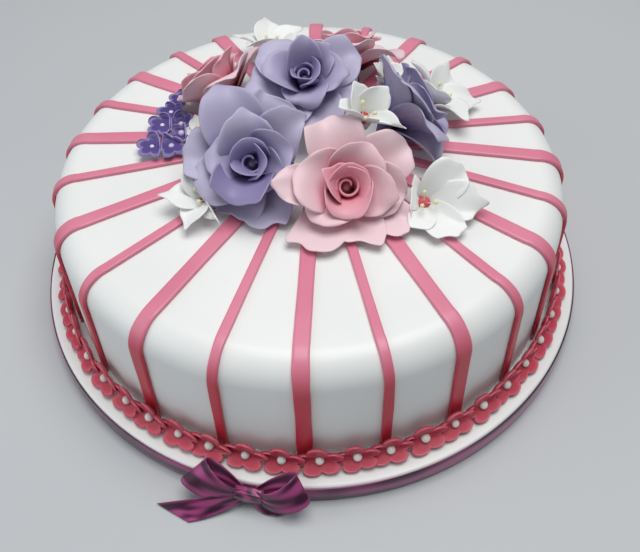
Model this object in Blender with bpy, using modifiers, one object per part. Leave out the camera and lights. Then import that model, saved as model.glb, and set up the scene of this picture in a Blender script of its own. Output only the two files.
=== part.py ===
"""Iced celebration cake on its ribboned board, with laid strips, a blossom border and a sugar-flower spray.

Metres, +Z up. The origin is the centre of the board's underside. Headings are degrees round the cake,
0 at the front (-Y) and 90 at the right (+X).
"""

import math
from collections import namedtuple

import bmesh
import bpy
import numpy as np
from mathutils import Matrix, Vector

MM = 0.001

# Driving dimensions
BOARD_RADIUS = 151.8 * MM
DRUM_THICKNESS = 10.8 * MM
BOARD_ICING_THICKNESS = 2.4 * MM
CAKE_RADIUS = 134.5 * MM
CAKE_FLARE = 1.2 * MM
CAKE_HEIGHT = 67.5 * MM
CAKE_EDGE_RADIUS = 15.0 * MM
CAKE_EDGE_STEPS = 4
CAKE_DOME = 0.8 * MM
CAKE_TOP_OVAL = 0.009
CAKE_TOP_SHIFT = 1.2 * MM
GAP = 0.3 * MM
RIBBON_WIDTH = 12.4 * MM
RIBBON_THICKNESS = 0.6 * MM
RIBBON_CLEARANCE = 0.4 * MM
ROUND_SEGMENTS = 48

# Heights that follow from them
BOARD_TOP = DRUM_THICKNESS + GAP + BOARD_ICING_THICKNESS
CAKE_FOOT = BOARD_TOP + GAP
CAKE_TOP = CAKE_FOOT + CAKE_HEIGHT

# Laid strips: wide and narrow in turn, every 15 degrees, drawn a little off the even spacing by hand
STRIP_COUNT = 24
STRIP_WIDE = 7.8 * MM
STRIP_NARROW = 4.9 * MM
STRIP_THICKNESS = 1.9 * MM
STRIP_INNER_RADIUS = 42.0 * MM
STRIP_FOOT_CLEARANCE = 0.6 * MM
STRIP_MEETING_POINT = (5.0 * MM, 20.0 * MM)
STRIP_DRIFT = (-4.88, 0.49, 5.38, 1.59, 0.94)

# Blossom border at the cake's foot
BORDER_COUNT = 50
BLOSSOM_RADIUS = 11.4 * MM
BLOSSOM_STRETCH = 1.08
BLOSSOM_VALLEY = 0.70
BLOSSOM_THICKNESS = 1.7 * MM
BLOSSOM_LAP = 0.07
BLOSSOM_SLOPE = 24.0
BLOSSOM_LOWER_LENGTH = 0.72
BLOSSOM_DROP_ROOM = 1.03
LOBE_STEP = 24.0

# Edges shorter than this are closed up where solids are fused
SHORTEST_EDGE = 0.01 * MM

# Spray of sugar flowers
PETAL_THICKNESS = 1.5 * MM
PETAL_TUCK = 2.2
PETAL_SIDE_ROLL = 0.06
PRESS_DEPTH = 3.0 * MM
PRESS_SLOPE = 0.02
PRESS_REACH = 20.0 * MM
BLOOM_FLOOR = CAKE_TOP + CAKE_DOME + GAP + STRIP_THICKNESS + GAP

Layer = namedtuple(
    "Layer", "count length half_width hub lift lean_foot lean_tip cup curl ruffle point cells"
)
Bloom = namedtuple("Bloom", "name kind x y z tilt heading spin size reach colour")

# Each layer's sizes are in millimetres and its angles in degrees: lean is from the flower's own axis
PETAL_LAYERS = {
    "rose": (
        Layer(5, 34.0, 18.0, 4.0, 1.0, 54.0, 86.0, 44.0, 26.0, 1.5, 0.06, (3, 2)),
        Layer(5, 23.0, 14.0, 3.6, 4.5, 24.0, 58.0, 17.0, 24.0, 0.9, 0.05, (2, 2)),
    ),
    "star": (
        Layer(5, 20.0, 8.5, 2.0, 3.0, 30.0, 80.0, 16.0, 0.0, 0.7, 0.22, (2, 2)),
    ),
    "cup": (
        Layer(5, 15.0, 7.5, 1.8, 3.0, 22.0, 58.0, 12.0, 0.0, 0.4, 0.08, (2, 2)),
    ),
}

# Outer petals that the roses' makers set by eye: (turn, length as a share of the layer's)
OUTER_PETALS = {
    "rose_pink_front": (
        (38, 0.99), (103, 0.94), (176, 0.97), (235, 1.0), (281, 0.86), (320, 1.07), (356, 0.76),
    ),
    "rose_purple_left": ((109, 1.18), (48, 1.06), (172, 0.92), (222, 0.80), (288, 1.02), (345, 0.9)),
    "rose_purple_top": ((195, 0.98), (85, 0.8), (345, 0.98), (300, 1.1), (245, 0.9), (140, 0.9)),
}

# Name, kind, place (mm from the cake's axis and above its top), axis tilt, heading, spin, size and reach
BLOOMS = (
    Bloom("rose_pink_front", "rose", 18, -28, 8.6, 42, 4, 20, 1.02, 37, "pink"),
    Bloom("rose_purple_left", "rose", -27, -14, 13, 40, -6, 52, 1.04, 33, "purple"),
    Bloom("rose_purple_top", "rose", 0, 34, 24, 24, 2, 0, 0.94, 30, "purple"),
    Bloom("rose_purple_right", "rose", 42, 11, 18, 60, 104, 36, 1.08, 31, "purple"),
    Bloom("rose_pink_left", "rose", -42, 44, 12, 46, -135, 16, 0.92, 23, "pink"),
    Bloom("rose_pink_back", "rose", 25, 66, 10, 42, 172, 46, 0.90, 27, "pink"),
    Bloom("star_right", "star", 56, -37, 4, 34, 10, 8, 1.0, 17, "white"),
    Bloom("cup_middle", "cup", 27, -6, 33, 28, 20, 20, 1.05, 13, "white"),
    Bloom("star_left", "star", -51, -29, 3, 26, -30, 30, 0.95, 14, "white"),
    Bloom("star_back_right", "star", 67, 36, 5, 34, 95, 6, 1.15, 18, "white"),
    Bloom("star_back_left", "star", -19, 88, 3, 16, -170, 28, 1.05, 17, "white"),
    Bloom("star_small_left", "star", -55, 21, 3, 26, -80, 26, 0.56, 9.5, "white"),
    Bloom("cup_right", "cup", 43, 46, 14, 16, 60, 26, 0.80, 11, "white"),
    Bloom("blossom_1", "blossom", -78, 29, 3.0, 20, -40, 0, 1.0, 5, "violet"),
    Bloom("blossom_2", "blossom", -68, 29, 3.8, 18, -20, 30, 1.0, 5, "violet"),
    Bloom("blossom_3", "blossom", -82, 12, 3.0, 22, -40, 12, 1.0, 5, "violet"),
    Bloom("blossom_4", "blossom", -72, 12, 3.4, 20, -20, 40, 1.0, 5, "violet"),
    Bloom("blossom_5", "blossom", -74, 39.5, 3.0, 20, -60, 20, 0.95, 5, "violet"),
    Bloom("blossom_6", "blossom", -70, 50, 3.6, 20, -60, 5, 0.8, 5, "violet"),
    Bloom("blossom_7", "blossom", -67, 19.8, 5.4, 16, -30, 55, 0.8, 5, "violet"),
)
SMALL_BLOSSOM_RADIUS = 7.2 * MM
SMALL_BLOSSOM_THICKNESS = 1.2 * MM
SMALL_BLOSSOM_CUP = 0.06 / MM

# Each kind's bud or centre: height of its top on the axis, its radius there, and the number of its sides
BUDS = {"rose": (20.0, 7.0, 8), "star": (5.0, 2.6, 5), "cup": (5.0, 2.4, 5)}

# Flowers held by their neighbours, with no stalk of their own down to the cake
TUCKED_IN = ("cup_middle", "cup_right")

# Bow: heading of the knot, and the edge lines of each length of ribbon as (along, out, up) in mm
BOW_HEADING = -12.6
BOW_RIBBON_THICKNESS = 0.7 * MM
KNOT_SIZE = (14.0 * MM, 6.0 * MM, 9.0 * MM)
KNOT_OUT = 3.5
KNOT_RISE = 10.0

COLOURS = {
    "icing": ((0.86, 0.87, 0.86), 0.45, 0.0),
    "foil": ((0.72, 0.72, 0.76), 0.25, 0.9),
    "ribbon": ((0.20, 0.02, 0.09), 0.35, 0.0),
    "strip": ((0.78, 0.20, 0.30), 0.5, 0.0),
    "border": ((0.70, 0.10, 0.18), 0.5, 0.0),
    "pink": ((0.86, 0.50, 0.55), 0.6, 0.0),
    "purple": ((0.36, 0.29, 0.55), 0.6, 0.0),
    "violet": ((0.25, 0.16, 0.45), 0.6, 0.0),
    "white": ((0.88, 0.88, 0.86), 0.55, 0.0),
}


def clear_scene():
    for thing in list(bpy.data.objects):
        bpy.data.objects.remove(thing, do_unlink=True)


def make_material(name):
    colour, roughness, metallic = COLOURS[name]
    material = bpy.data.materials.new(name)
    material.use_nodes = True
    shader = material.node_tree.nodes["Principled BSDF"]
    shader.inputs["Base Color"].default_value = (*colour, 1.0)
    shader.inputs["Roughness"].default_value = roughness
    shader.inputs["Metallic"].default_value = metallic
    return material


def add_object(name, mesh, material=None, collection=None):
    thing = bpy.data.objects.new(name, mesh)
    (collection or CAKE).objects.link(thing)
    if material:
        thing.data.materials.clear()
        thing.data.materials.append(material)
    return thing


def baked(thing):
    """The object with its modifiers applied to its mesh."""
    bpy.context.view_layer.update()
    graph = bpy.context.evaluated_depsgraph_get()
    mesh = bpy.data.meshes.new_from_object(thing.evaluated_get(graph))
    thing.modifiers.clear()
    thing.data = mesh
    return thing


def turned(name, profile, material):
    """A solid turned round Z from profile, its (radius, height) points from the top down the outside.

    A profile that keeps clear of the axis is closed on itself, which makes a ring.
    """
    mesh = bpy.data.meshes.new(name)
    points = [(r, 0.0, z) for r, z in profile]
    edges = [(i, i + 1) for i in range(len(points) - 1)]
    if profile[0][0] > 0.0:
        edges.append((len(points) - 1, 0))
    mesh.from_pydata(points, edges, [])
    thing = add_object(name, mesh, material)
    screw = thing.modifiers.new("turn", "SCREW")
    screw.steps = ROUND_SEGMENTS
    screw.render_steps = ROUND_SEGMENTS
    screw.use_merge_vertices = True
    screw.merge_threshold = 0.00001
    baked(thing)
    thing.data.shade_smooth()
    thing.data.set_sharp_from_angle(angle=math.radians(40))
    return thing


def sheet_solid(name, cells, surface, thickness):
    """A curved sheet: a grid whose u and v go through surface(u, v), thickened to a closed solid."""
    sheet = bmesh.new()
    bmesh.ops.create_grid(sheet, x_segments=cells[0], y_segments=cells[1], size=1.0)
    flat = np.array([vertex.co for vertex in sheet.verts])
    placed = surface(flat[:, 0], (flat[:, 1] + 1.0) / 2.0)
    for vertex, point in zip(sheet.verts, placed):
        vertex.co = point
    mesh = bpy.data.meshes.new(name)
    sheet.to_mesh(mesh)
    sheet.free()
    thing = add_object(name, mesh, collection=WORK)
    thicken = thing.modifiers.new("thickness", "SOLIDIFY")
    thicken.thickness = thickness
    thicken.offset = 0.0
    return baked(thing)


def move_points(thing, rule):
    """Each of the mesh's points goes where rule(points) says."""
    points = np.array([vertex.co for vertex in thing.data.vertices])
    thing.data.vertices.foreach_set("co", rule(points).astype(np.float32).ravel())
    thing.data.update()


def facing_out(thing):
    """Turns a closed shape's faces over if its signed volume says that it is inside out."""
    shape = bmesh.new()
    shape.from_mesh(thing.data)
    if shape.calc_volume(signed=True) < 0.0:
        bmesh.ops.reverse_faces(shape, faces=shape.faces)
    shape.to_mesh(thing.data)
    shape.free()


def petal_solid(cells, surface):
    """A petal thick in its middle and thin at its rim: two grids on surface(u, v) that share their rim."""
    petal = bmesh.new()
    bmesh.ops.create_grid(petal, x_segments=cells[0], y_segments=cells[1], size=1.0)
    flat = np.array([vertex.co for vertex in petal.verts])
    rim = [vertex.is_boundary for vertex in petal.verts]
    for vertex, point in zip(petal.verts, surface(flat[:, 0], (flat[:, 1] + 1.0) / 2.0)):
        vertex.co = point
    petal.normal_update()
    copy = bmesh.ops.duplicate(petal, geom=petal.verts[:] + petal.edges[:] + petal.faces[:])
    backs = [vertex for vertex in copy["geom"] if isinstance(vertex, bmesh.types.BMVert)]
    for front, back, on_rim in zip(petal.verts, backs, rim):
        normal = front.normal.copy()
        if not on_rim:
            front.co += normal * PETAL_THICKNESS / 2.0
            back.co -= normal * PETAL_THICKNESS / 2.0
    back_faces = [part for part in copy["geom"] if isinstance(part, bmesh.types.BMFace)]
    bmesh.ops.reverse_faces(petal, faces=back_faces)
    bmesh.ops.remove_doubles(petal, verts=petal.verts, dist=0.001 * MM)
    mesh = bpy.data.meshes.new("petal")
    petal.to_mesh(mesh)
    petal.free()
    return add_object("petal", mesh, collection=WORK)


def keep_main_shell(thing):
    """Drops loose scraps and fills sealed hollows: only the shell with the most faces stays."""
    shape = bmesh.new()
    shape.from_mesh(thing.data)
    bmesh.ops.dissolve_degenerate(shape, edges=shape.edges, dist=SHORTEST_EDGE)
    unseen = set(shape.faces)
    shells = []
    while unseen:
        to_visit = [unseen.pop()]
        shell = list(to_visit)
        while to_visit:
            face = to_visit.pop()
            for other in (loop.link_loop_radial_next.face for loop in face.loops):
                if other in unseen:
                    unseen.remove(other)
                    shell.append(other)
                    to_visit.append(other)
        shells.append(shell)
    shells.sort(key=len)
    scraps = [face for shell in shells[:-1] for face in shell]
    bmesh.ops.delete(shape, geom=scraps, context="FACES")
    shape.to_mesh(thing.data)
    shape.free()


def fused(name, solids, material):
    """One solid from several that overlap, by one Boolean union on a collection."""
    for solid in solids:
        facing_out(solid)
    body, others = solids[0], solids[1:]
    operands = bpy.data.collections.new("fusing_" + name)
    bpy.context.scene.collection.children.link(operands)
    for solid in others:
        WORK.objects.unlink(solid)
        operands.objects.link(solid)
    union = body.modifiers.new("union", "BOOLEAN")
    union.operation = "UNION"
    union.operand_type = "COLLECTION"
    union.collection = operands
    union.solver = "MANIFOLD"
    baked(body)
    for solid in others:
        bpy.data.objects.remove(solid, do_unlink=True)
    bpy.data.collections.remove(operands)
    keep_main_shell(body)
    WORK.objects.unlink(body)
    CAKE.objects.link(body)
    body.name = name
    body.data.materials.clear()
    body.data.materials.append(material)
    return body


def arc(radius, start, stop, steps):
    """Offsets (x, z) round a circle, from start to stop degrees, both ends in."""
    angles = np.radians(np.linspace(start, stop, steps + 1))
    return [(radius * math.cos(a), radius * math.sin(a)) for a in angles]


def heading_vector(degrees):
    angle = math.radians(degrees)
    return np.array([math.sin(angle), -math.cos(angle), 0.0])


def make_board():
    drum_radius = BOARD_RADIUS - 0.4 * MM
    turned(
        "board_drum",
        [(0.0, DRUM_THICKNESS), (drum_radius, DRUM_THICKNESS), (drum_radius, 0.0), (0.0, 0.0)],
        MATERIALS["foil"],
    )
    rounding = 1.6 * MM
    centre = (BOARD_RADIUS - rounding, BOARD_TOP - rounding)
    rim = [(centre[0] + x, centre[1] + z) for x, z in arc(rounding, 90, 0, 2)]
    underside = DRUM_THICKNESS + GAP
    profile = [(0.0, BOARD_TOP), *rim, (BOARD_RADIUS, underside), (0.0, underside)]
    turned("board_icing", profile, MATERIALS["icing"])


def make_board_ribbon():
    """The satin band round the board's edge, a square-edged ring just clear of the board."""
    inner = BOARD_RADIUS + GAP
    outer = inner + RIBBON_THICKNESS
    low = RIBBON_CLEARANCE
    high = low + RIBBON_WIDTH
    ring = [(inner, high), (outer, high), (outer, low), (inner, low)]
    turned("board_ribbon", ring, MATERIALS["ribbon"])


def hand_shaped(points):
    """The cake's top as iced by hand: a little wider than deep and set back, growing with the height."""
    share = np.clip((points[:, 2] - CAKE_FOOT) / CAKE_HEIGHT, 0.0, 1.0)
    x = points[:, 0] * (1.0 + CAKE_TOP_OVAL * share)
    y = points[:, 1] * (1.0 - CAKE_TOP_OVAL * share) + CAKE_TOP_SHIFT * share
    return np.stack([x, y, points[:, 2]], axis=-1)


def make_cake():
    centre = (CAKE_RADIUS - CAKE_EDGE_RADIUS, CAKE_TOP - CAKE_EDGE_RADIUS)
    edge = [(centre[0] + x, centre[1] + z) for x, z in arc(CAKE_EDGE_RADIUS, 90, 0, CAKE_EDGE_STEPS)]
    foot = CAKE_RADIUS + CAKE_FLARE
    profile = [(0.0, CAKE_TOP + CAKE_DOME), *edge, (foot, CAKE_FOOT), (0.0, CAKE_FOOT)]
    move_points(turned("iced_cake", profile, MATERIALS["icing"]), hand_shaped)


def strip_heading(index):
    """Heading where a strip crosses the cake's edge: even spacing plus the drift of hand laying."""
    even = 360.0 * index / STRIP_COUNT
    a = math.radians(even)
    steady, cos_one, sin_one, cos_two, sin_two = STRIP_DRIFT
    drift = steady + cos_one * math.cos(a) + sin_one * math.sin(a)
    return even + drift + cos_two * math.cos(2 * a) + sin_two * math.sin(2 * a)


def strip_path(index):
    """Mid-line points on the icing with the outward direction at each, from the spray to the foot."""
    out = heading_vector(strip_heading(index))
    meeting = np.array([*STRIP_MEETING_POINT, 0.0])
    shoulder = CAKE_RADIUS - CAKE_EDGE_RADIUS
    run = out * shoulder - meeting
    inner = meeting + run / np.linalg.norm(run) * STRIP_INNER_RADIUS
    up = np.array([0.0, 0.0, 1.0])
    dome_lift = CAKE_DOME * (1.0 - np.linalg.norm(inner) / shoulder)
    points = [(inner + up * (CAKE_TOP + dome_lift), up)]
    for x, z in arc(CAKE_EDGE_RADIUS, 90, 0, CAKE_EDGE_STEPS):
        normal = (out * x + up * z) / CAKE_EDGE_RADIUS
        points.append((out * (shoulder + x) + up * (CAKE_TOP - CAKE_EDGE_RADIUS + z), normal))
    foot = out * (CAKE_RADIUS + CAKE_FLARE) + up * (CAKE_FOOT + STRIP_FOOT_CLEARANCE)
    points.append((foot, out))
    return points


def make_strips():
    """Each strip is a flat box, divided along its length and bent over the cake's edge."""
    for index in range(STRIP_COUNT):
        half = (STRIP_WIDE if index % 2 == 0 else STRIP_NARROW) / 2.0
        path = strip_path(index)
        out = heading_vector(strip_heading(index))
        side = np.array([-out[1], out[0], 0.0])

        def bend(u, v):
            rows = np.rint(v * (len(path) - 1)).astype(int)
            spine = np.array([point for point, _ in path])[rows]
            normals = np.array([normal for _, normal in path])[rows]
            middle = GAP + 0.1 * MM + STRIP_THICKNESS / 2.0
            return hand_shaped(spine + normals * middle + side * (u * half)[:, None])

        strip = sheet_solid("strip", (1, len(path) - 1), bend, STRIP_THICKNESS)
        facing_out(strip)
        WORK.objects.unlink(strip)
        CAKE.objects.link(strip)
        strip.name = f"strip_{index + 1:02d}"
        strip.data.materials.append(MATERIALS["strip"])


def lobed_disc(name, radius, spin, folded):
    """A five-petalled disc from a fifteen-sided one: every third rim point is drawn in to a valley.

    A folded disc has an edge across its middle, along Y, to be bent at; a cupped one has a middle point.
    """
    disc = bmesh.new()
    bmesh.ops.create_cone(
        disc,
        cap_ends=True,
        cap_tris=not folded,
        segments=round(360.0 / LOBE_STEP),
        radius1=radius,
        radius2=radius,
        depth=BLOSSOM_THICKNESS if folded else SMALL_BLOSSOM_THICKNESS,
    )
    for vertex in disc.verts:
        turn = math.degrees(math.atan2(vertex.co.y, vertex.co.x)) % 360.0
        if vertex.co.xy.length > radius / 2 and round(turn / LOBE_STEP) % 3 == 0:
            vertex.co.x *= BLOSSOM_VALLEY
            vertex.co.y *= BLOSSOM_VALLEY
    disc.transform(Matrix.Rotation(spin, 4, "Z"))
    if folded:
        whole = disc.verts[:] + disc.edges[:] + disc.faces[:]
        bmesh.ops.bisect_plane(disc, geom=whole, dist=0.001 * MM, plane_co=(0, 0, 0), plane_no=(1, 0, 0))
    mesh = bpy.data.meshes.new(name)
    disc.to_mesh(mesh)
    disc.free()
    return add_object(name, mesh, collection=WORK)


def border_rule(heading, size):
    """Folds a flat blossom into the corner: half stands against the cake, half slopes down to the board.

    Each blossom leans a little along the ring, so that it laps over the next one like a roof tile.
    """
    out = heading_vector(heading)
    side = np.array([-out[1], out[0], 0.0])
    up = np.array([0.0, 0.0, 1.0])
    slope = math.radians(BLOSSOM_SLOPE)
    mitre = (1.0 - math.sin(slope)) / math.cos(slope)
    skin_room = BLOSSOM_THICKNESS / 2.0 + BLOSSOM_LAP * BLOSSOM_RADIUS * BLOSSOM_STRETCH
    drop = BLOSSOM_DROP_ROOM * BLOSSOM_RADIUS * BLOSSOM_LOWER_LENGTH * math.sin(slope)
    wall = CAKE_RADIUS + CAKE_FLARE + STRIP_THICKNESS + 2.0 * GAP + skin_room
    fold_height = BOARD_TOP + GAP + skin_room + drop

    def rule(points):
        outward, along = points[:, 0] * size, points[:, 1] * size * BLOSSOM_STRETCH
        skin = points[:, 2] + BLOSSOM_LAP * along
        lower = np.clip(outward, 0.0, None) * BLOSSOM_LOWER_LENGTH
        on_fold = np.abs(outward) < 1e-7
        sloping = outward > 1e-7
        radius = wall + np.where(sloping, lower * math.cos(slope) + skin * math.sin(slope), skin)
        rise = np.where(on_fold, skin * mitre, np.clip(-outward, 0.0, None))
        rise = np.where(sloping, skin * math.cos(slope) - lower * math.sin(slope), rise)
        return radius[:, None] * out + along[:, None] * side + (fold_height + rise)[:, None] * up

    return rule


def make_border():
    rng = np.random.default_rng(7)
    solids = []
    for index in range(BORDER_COUNT):
        heading = 360.0 * (index + rng.uniform(-0.04, 0.04)) / BORDER_COUNT
        rule = border_rule(heading, rng.uniform(0.99, 1.03))
        spin = math.radians(LOBE_STEP * rng.integers(3) + 180.0 * rng.integers(2))
        blossom = lobed_disc("blossom", BLOSSOM_RADIUS, spin, folded=True)
        move_points(blossom, rule)
        solids.append(blossom)
    fused("blossom_border", solids, MATERIALS["border"])


def petal_surface(layer, size, turn, shift):
    """A petal as a function of u (across, -1 to 1) and v (foot to tip), in its flower's own frame, in mm.

    Its mid-line leaves the hub and turns from lean_foot to lean_tip off the axis. Each cross line is an arc
    of radius cup about that line, so a small cup wraps the petal round the hub. shift varies each petal.
    """
    stretch, tip_lean, phase = shift
    length = layer.length * stretch
    stations = np.linspace(0.0, 1.2, 49)
    lean = layer.lean_foot + (layer.lean_tip - layer.lean_foot + tip_lean) * stations**0.9
    lean = np.radians(lean + layer.curl * stations**5)
    step = length * (stations[1] - stations[0])
    reaches = layer.hub + np.concatenate([[0.0], np.cumsum(np.sin(lean[1:]) * step)])
    rises = layer.lift + np.concatenate([[0.0], np.cumsum(np.cos(lean[1:]) * step)])

    def surface(u, v):
        half = layer.half_width * np.sin(np.pi * (0.15 + 0.60 * v))
        pointed = layer.point * v**6 * np.exp(-((u / 0.3) ** 2))
        along = v - 0.20 * u**2 * v**2 + pointed
        angle = np.interp(along, stations, lean)
        bend = u * half / layer.cup
        lift = layer.cup * (1.0 - np.cos(bend))
        lift += layer.ruffle * v**2 * np.sin(4.2 * u + phase)
        lift += PETAL_TUCK * u - PETAL_SIDE_ROLL * layer.half_width * np.abs(u) ** 3 * v**2
        radial = np.interp(along, stations, reaches) - lift * np.cos(angle)
        side = layer.cup * np.sin(bend)
        up = np.interp(along, stations, rises) + lift * np.sin(angle)
        x = radial * math.cos(turn) - side * math.sin(turn)
        y = radial * math.sin(turn) + side * math.cos(turn)
        return np.stack([x, y, up], axis=-1) * size

    return surface


def bloom_petals(bloom, index):
    """Every petal of a flower as (layer, surface), each a little unlike the next."""
    rng = np.random.default_rng(100 + index)
    petals = []
    for depth, layer in enumerate(PETAL_LAYERS[bloom.kind]):
        even = [(bloom.spin + 360.0 * (n + 0.5 * depth) / layer.count, 1.0) for n in range(layer.count)]
        laid = OUTER_PETALS.get(bloom.name, even) if depth == 0 else even
        for turn, stretch in laid:
            heading = math.radians(turn + rng.uniform(-6, 6))
            shift = (stretch * rng.uniform(0.97, 1.03), rng.uniform(-9, 9), rng.uniform(0, 6.28))
            petals.append((layer, petal_surface(layer, bloom.size, heading, shift)))
    return petals


def bloom_frame(bloom):
    """Rotation and place of a flower, so that its own Z points along its axis. In metres."""
    axis = Vector((0.0, 0.0, 1.0)).cross(Vector(heading_vector(bloom.heading)))
    turn = Matrix.Rotation(math.radians(bloom.tilt), 3, axis)
    place = np.array([bloom.x * MM, bloom.y * MM, CAKE_TOP + bloom.z * MM])
    return np.array(turn), place


def bloom_heart(bloom):
    turn, place = bloom_frame(bloom)
    return place + turn[:, 2] * 0.35 * bloom.reach * MM


def bloom_walls(bloom):
    """The planes that part a flower from its neighbours, and the floor, as (normal, offset) pairs.

    Each plane lies where the two flowers' spheres of influence would meet, so the space of a flower is
    convex and no two of them overlap.
    """
    heart, reach = bloom_heart(bloom), bloom.reach * MM
    walls = [(np.array([0.0, 0.0, -1.0]), -BLOOM_FLOOR)]
    for other in BLOOMS:
        apart = bloom_heart(other) - heart
        distance = np.linalg.norm(apart)
        if other is bloom or distance > 90 * MM:
            continue
        share = (distance**2 + reach**2 - (other.reach * MM) ** 2) / (2.0 * distance)
        normal = apart / distance
        walls.append((normal, heart @ normal + share - GAP * 0.6))
    return walls


def pressed(points, walls, room):
    """Points beyond a wall are pressed against it, in order, and stay at least room inside its face.

    The further out a point was, the nearer it comes to the wall, so a petal is never pressed quite flat.
    """
    points = points.copy()
    for _ in range(3):
        for normal, offset in walls:
            face = offset - room - PRESS_SLOPE * PRESS_REACH
            deep = np.clip(points @ normal - (face - PRESS_DEPTH), 0.0, None)
            kept = PRESS_DEPTH * (1.0 - np.exp(-deep / PRESS_DEPTH)) + PRESS_SLOPE * deep
            points -= np.clip(deep - kept, 0.0, None)[:, None] * normal
    for _ in range(40):
        for normal, offset in walls:
            points -= np.clip(points @ normal - (offset - room), 0.0, None)[:, None] * normal
    return points


def hub_solid(foot, top, foot_radius, top_radius, sides):
    """The flower's cone of paste, from foot to top, both ends closed."""
    run = Vector(top) - Vector(foot)
    cone = bmesh.new()
    bmesh.ops.create_cone(
        cone, cap_ends=True, segments=sides, radius1=foot_radius, radius2=top_radius, depth=run.length
    )
    turn = run.to_track_quat("Z", "Y").to_matrix().to_4x4()
    cone.transform(Matrix.Translation((Vector(foot) + Vector(top)) / 2.0) @ turn)
    mesh = bpy.data.meshes.new("hub")
    cone.to_mesh(mesh)
    cone.free()
    return add_object("hub", mesh, collection=WORK)


def make_petalled_bloom(bloom, index):
    turn, place = bloom_frame(bloom)
    layers = PETAL_LAYERS[bloom.kind]
    axis = turn[:, 2]
    collar = place + axis * layers[0].lift * bloom.size * MM
    collar_width = (layers[0].hub + 1.6) * MM
    bud_top, bud_width, sides = BUDS[bloom.kind]
    bud = place + axis * bud_top * bloom.size * MM
    solids = [hub_solid(collar - axis * 3.0 * MM, bud, collar_width, bud_width * MM, sides)]
    if bloom.name not in TUCKED_IN:
        ground = np.array([place[0], place[1], BLOOM_FLOOR])
        solids.append(hub_solid(ground, collar, collar_width * 1.15, collar_width * 0.8, sides))
    walls = bloom_walls(bloom)
    for solid in solids:
        move_points(solid, lambda points: pressed(points, walls, 0.0))
    for layer, surface in bloom_petals(bloom, index):
        def placed(u, v):
            return pressed(surface(u, v) * MM @ turn.T + place, walls, PETAL_THICKNESS / 2.0)

        solids.append(petal_solid(layer.cells, placed))
    fused(bloom.name, solids, MATERIALS[bloom.colour])


def make_small_blossom(bloom):
    """A cupped five-petalled blossom that stands on the icing on its lowest petals."""
    turn, place = bloom_frame(bloom)
    walls = bloom_walls(bloom)

    def rule(points):
        cup = SMALL_BLOSSOM_CUP * (points[:, 0] ** 2 + points[:, 1] ** 2)
        cupped = np.stack([points[:, 0], points[:, 1], points[:, 2] + cup], axis=-1)
        return pressed(cupped @ turn.T + place, walls, 0.0)

    disc = lobed_disc(bloom.name, SMALL_BLOSSOM_RADIUS * bloom.size, math.radians(bloom.spin), folded=False)
    move_points(disc, rule)
    WORK.objects.unlink(disc)
    CAKE.objects.link(disc)
    disc.data.materials.append(MATERIALS[bloom.colour])


def make_spray():
    for index, bloom in enumerate(BLOOMS):
        if bloom.kind == "blossom":
            make_small_blossom(bloom)
        else:
            make_petalled_bloom(bloom, index)


def bow_point(along, out, up):
    """A point of the bow from its place along the rim, outward from the ribbon, and above the table."""
    outward = heading_vector(BOW_HEADING)
    side = np.array([-outward[1], outward[0], 0.0])
    face = BOARD_RADIUS + GAP + RIBBON_THICKNESS
    return outward * (face + out * MM) + side * along * MM + np.array([0.0, 0.0, up * MM])


def ribbon_length(name, low_edge, high_edge, cells):
    """A length of ribbon between two edge lines, each a smooth curve through its few given points."""
    low, high = np.array(low_edge, float), np.array(high_edge, float)

    def through(points, v):
        count = len(points) - 1
        seat = np.clip(v * count, 0, count - 1e-9)
        i = seat.astype(int)
        t = (seat - i)[:, None]
        padded = np.concatenate([[2 * points[0] - points[1]], points, [2 * points[-1] - points[-2]]])
        a, b, c, d = padded[i], padded[i + 1], padded[i + 2], padded[i + 3]
        square = (2 * a - 5 * b + 4 * c - d) * t**2
        cube = (3 * b - 3 * c + d - a) * t**3
        return 0.5 * (2 * b + (c - a) * t + square + cube)

    def surface(u, v):
        share = ((u + 1.0) / 2.0)[:, None]
        local = through(low, v) * (1.0 - share) + through(high, v) * share
        return np.array([bow_point(*point) for point in local])

    return sheet_solid(name, cells, surface, BOW_RIBBON_THICKNESS)


# Low and high edge of each length of the bow, as (along, out, up) points, and its grid cells
BOW_LENGTHS = {
    "loop_left": (
        [
            (-3, 3.5, 6), (-12, 7.5, 7), (-23, 8, 9), (-31, 5.5, 11),
            (-34, 2.5, 12), (-30, 1.2, 14.5), (-16, 1.4, 14), (-3, 1.8, 8),
        ],
        [
            (-3, 3.5, 14), (-9, 4.5, 17), (-15, 2.5, 21), (-20, -1.5, 23),
            (-22.4, -5.8, 22), (-19, -7, 19.5), (-11, -3.5, 17), (-3, 1.4, 14.5),
        ],
        (1, 9),
    ),
    "loop_right": (
        [
            (3, 3.5, 6), (11, 8, 6.5), (20, 9, 8), (27, 6.5, 11),
            (29.8, 3.6, 14), (26, 1.2, 15.5), (15, 1.4, 14), (3, 1.8, 8),
        ],
        [
            (3, 3.5, 14), (9, 5, 17), (15, 3.5, 20.5), (19.5, -1, 22.5),
            (21.3, -5.7, 21.5), (18, -7, 19.5), (10, -3.5, 17), (3, 1.4, 14.5),
        ],
        (1, 9),
    ),
    "tail_left": (
        [(1, 3.0, 5), (-10, 10, 3.2), (-20, 15.5, 1.4), (-27, 18.5, 0.9)],
        [(1, 3.0, 12), (-13, 6.5, 11.5), (-30, 9.5, 6), (-45, 12, 1.2)],
        (1, 5),
    ),
    "tail_right": (
        [(-1, 3.0, 5), (3, 6, 2.5), (8, 8, 1.2), (14, 8, 0.9)],
        [(-1, 3.0, 12), (10, 4.5, 9), (20, 3.5, 5), (26, 2, 2.5)],
        (1, 4),
    ),
}


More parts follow.
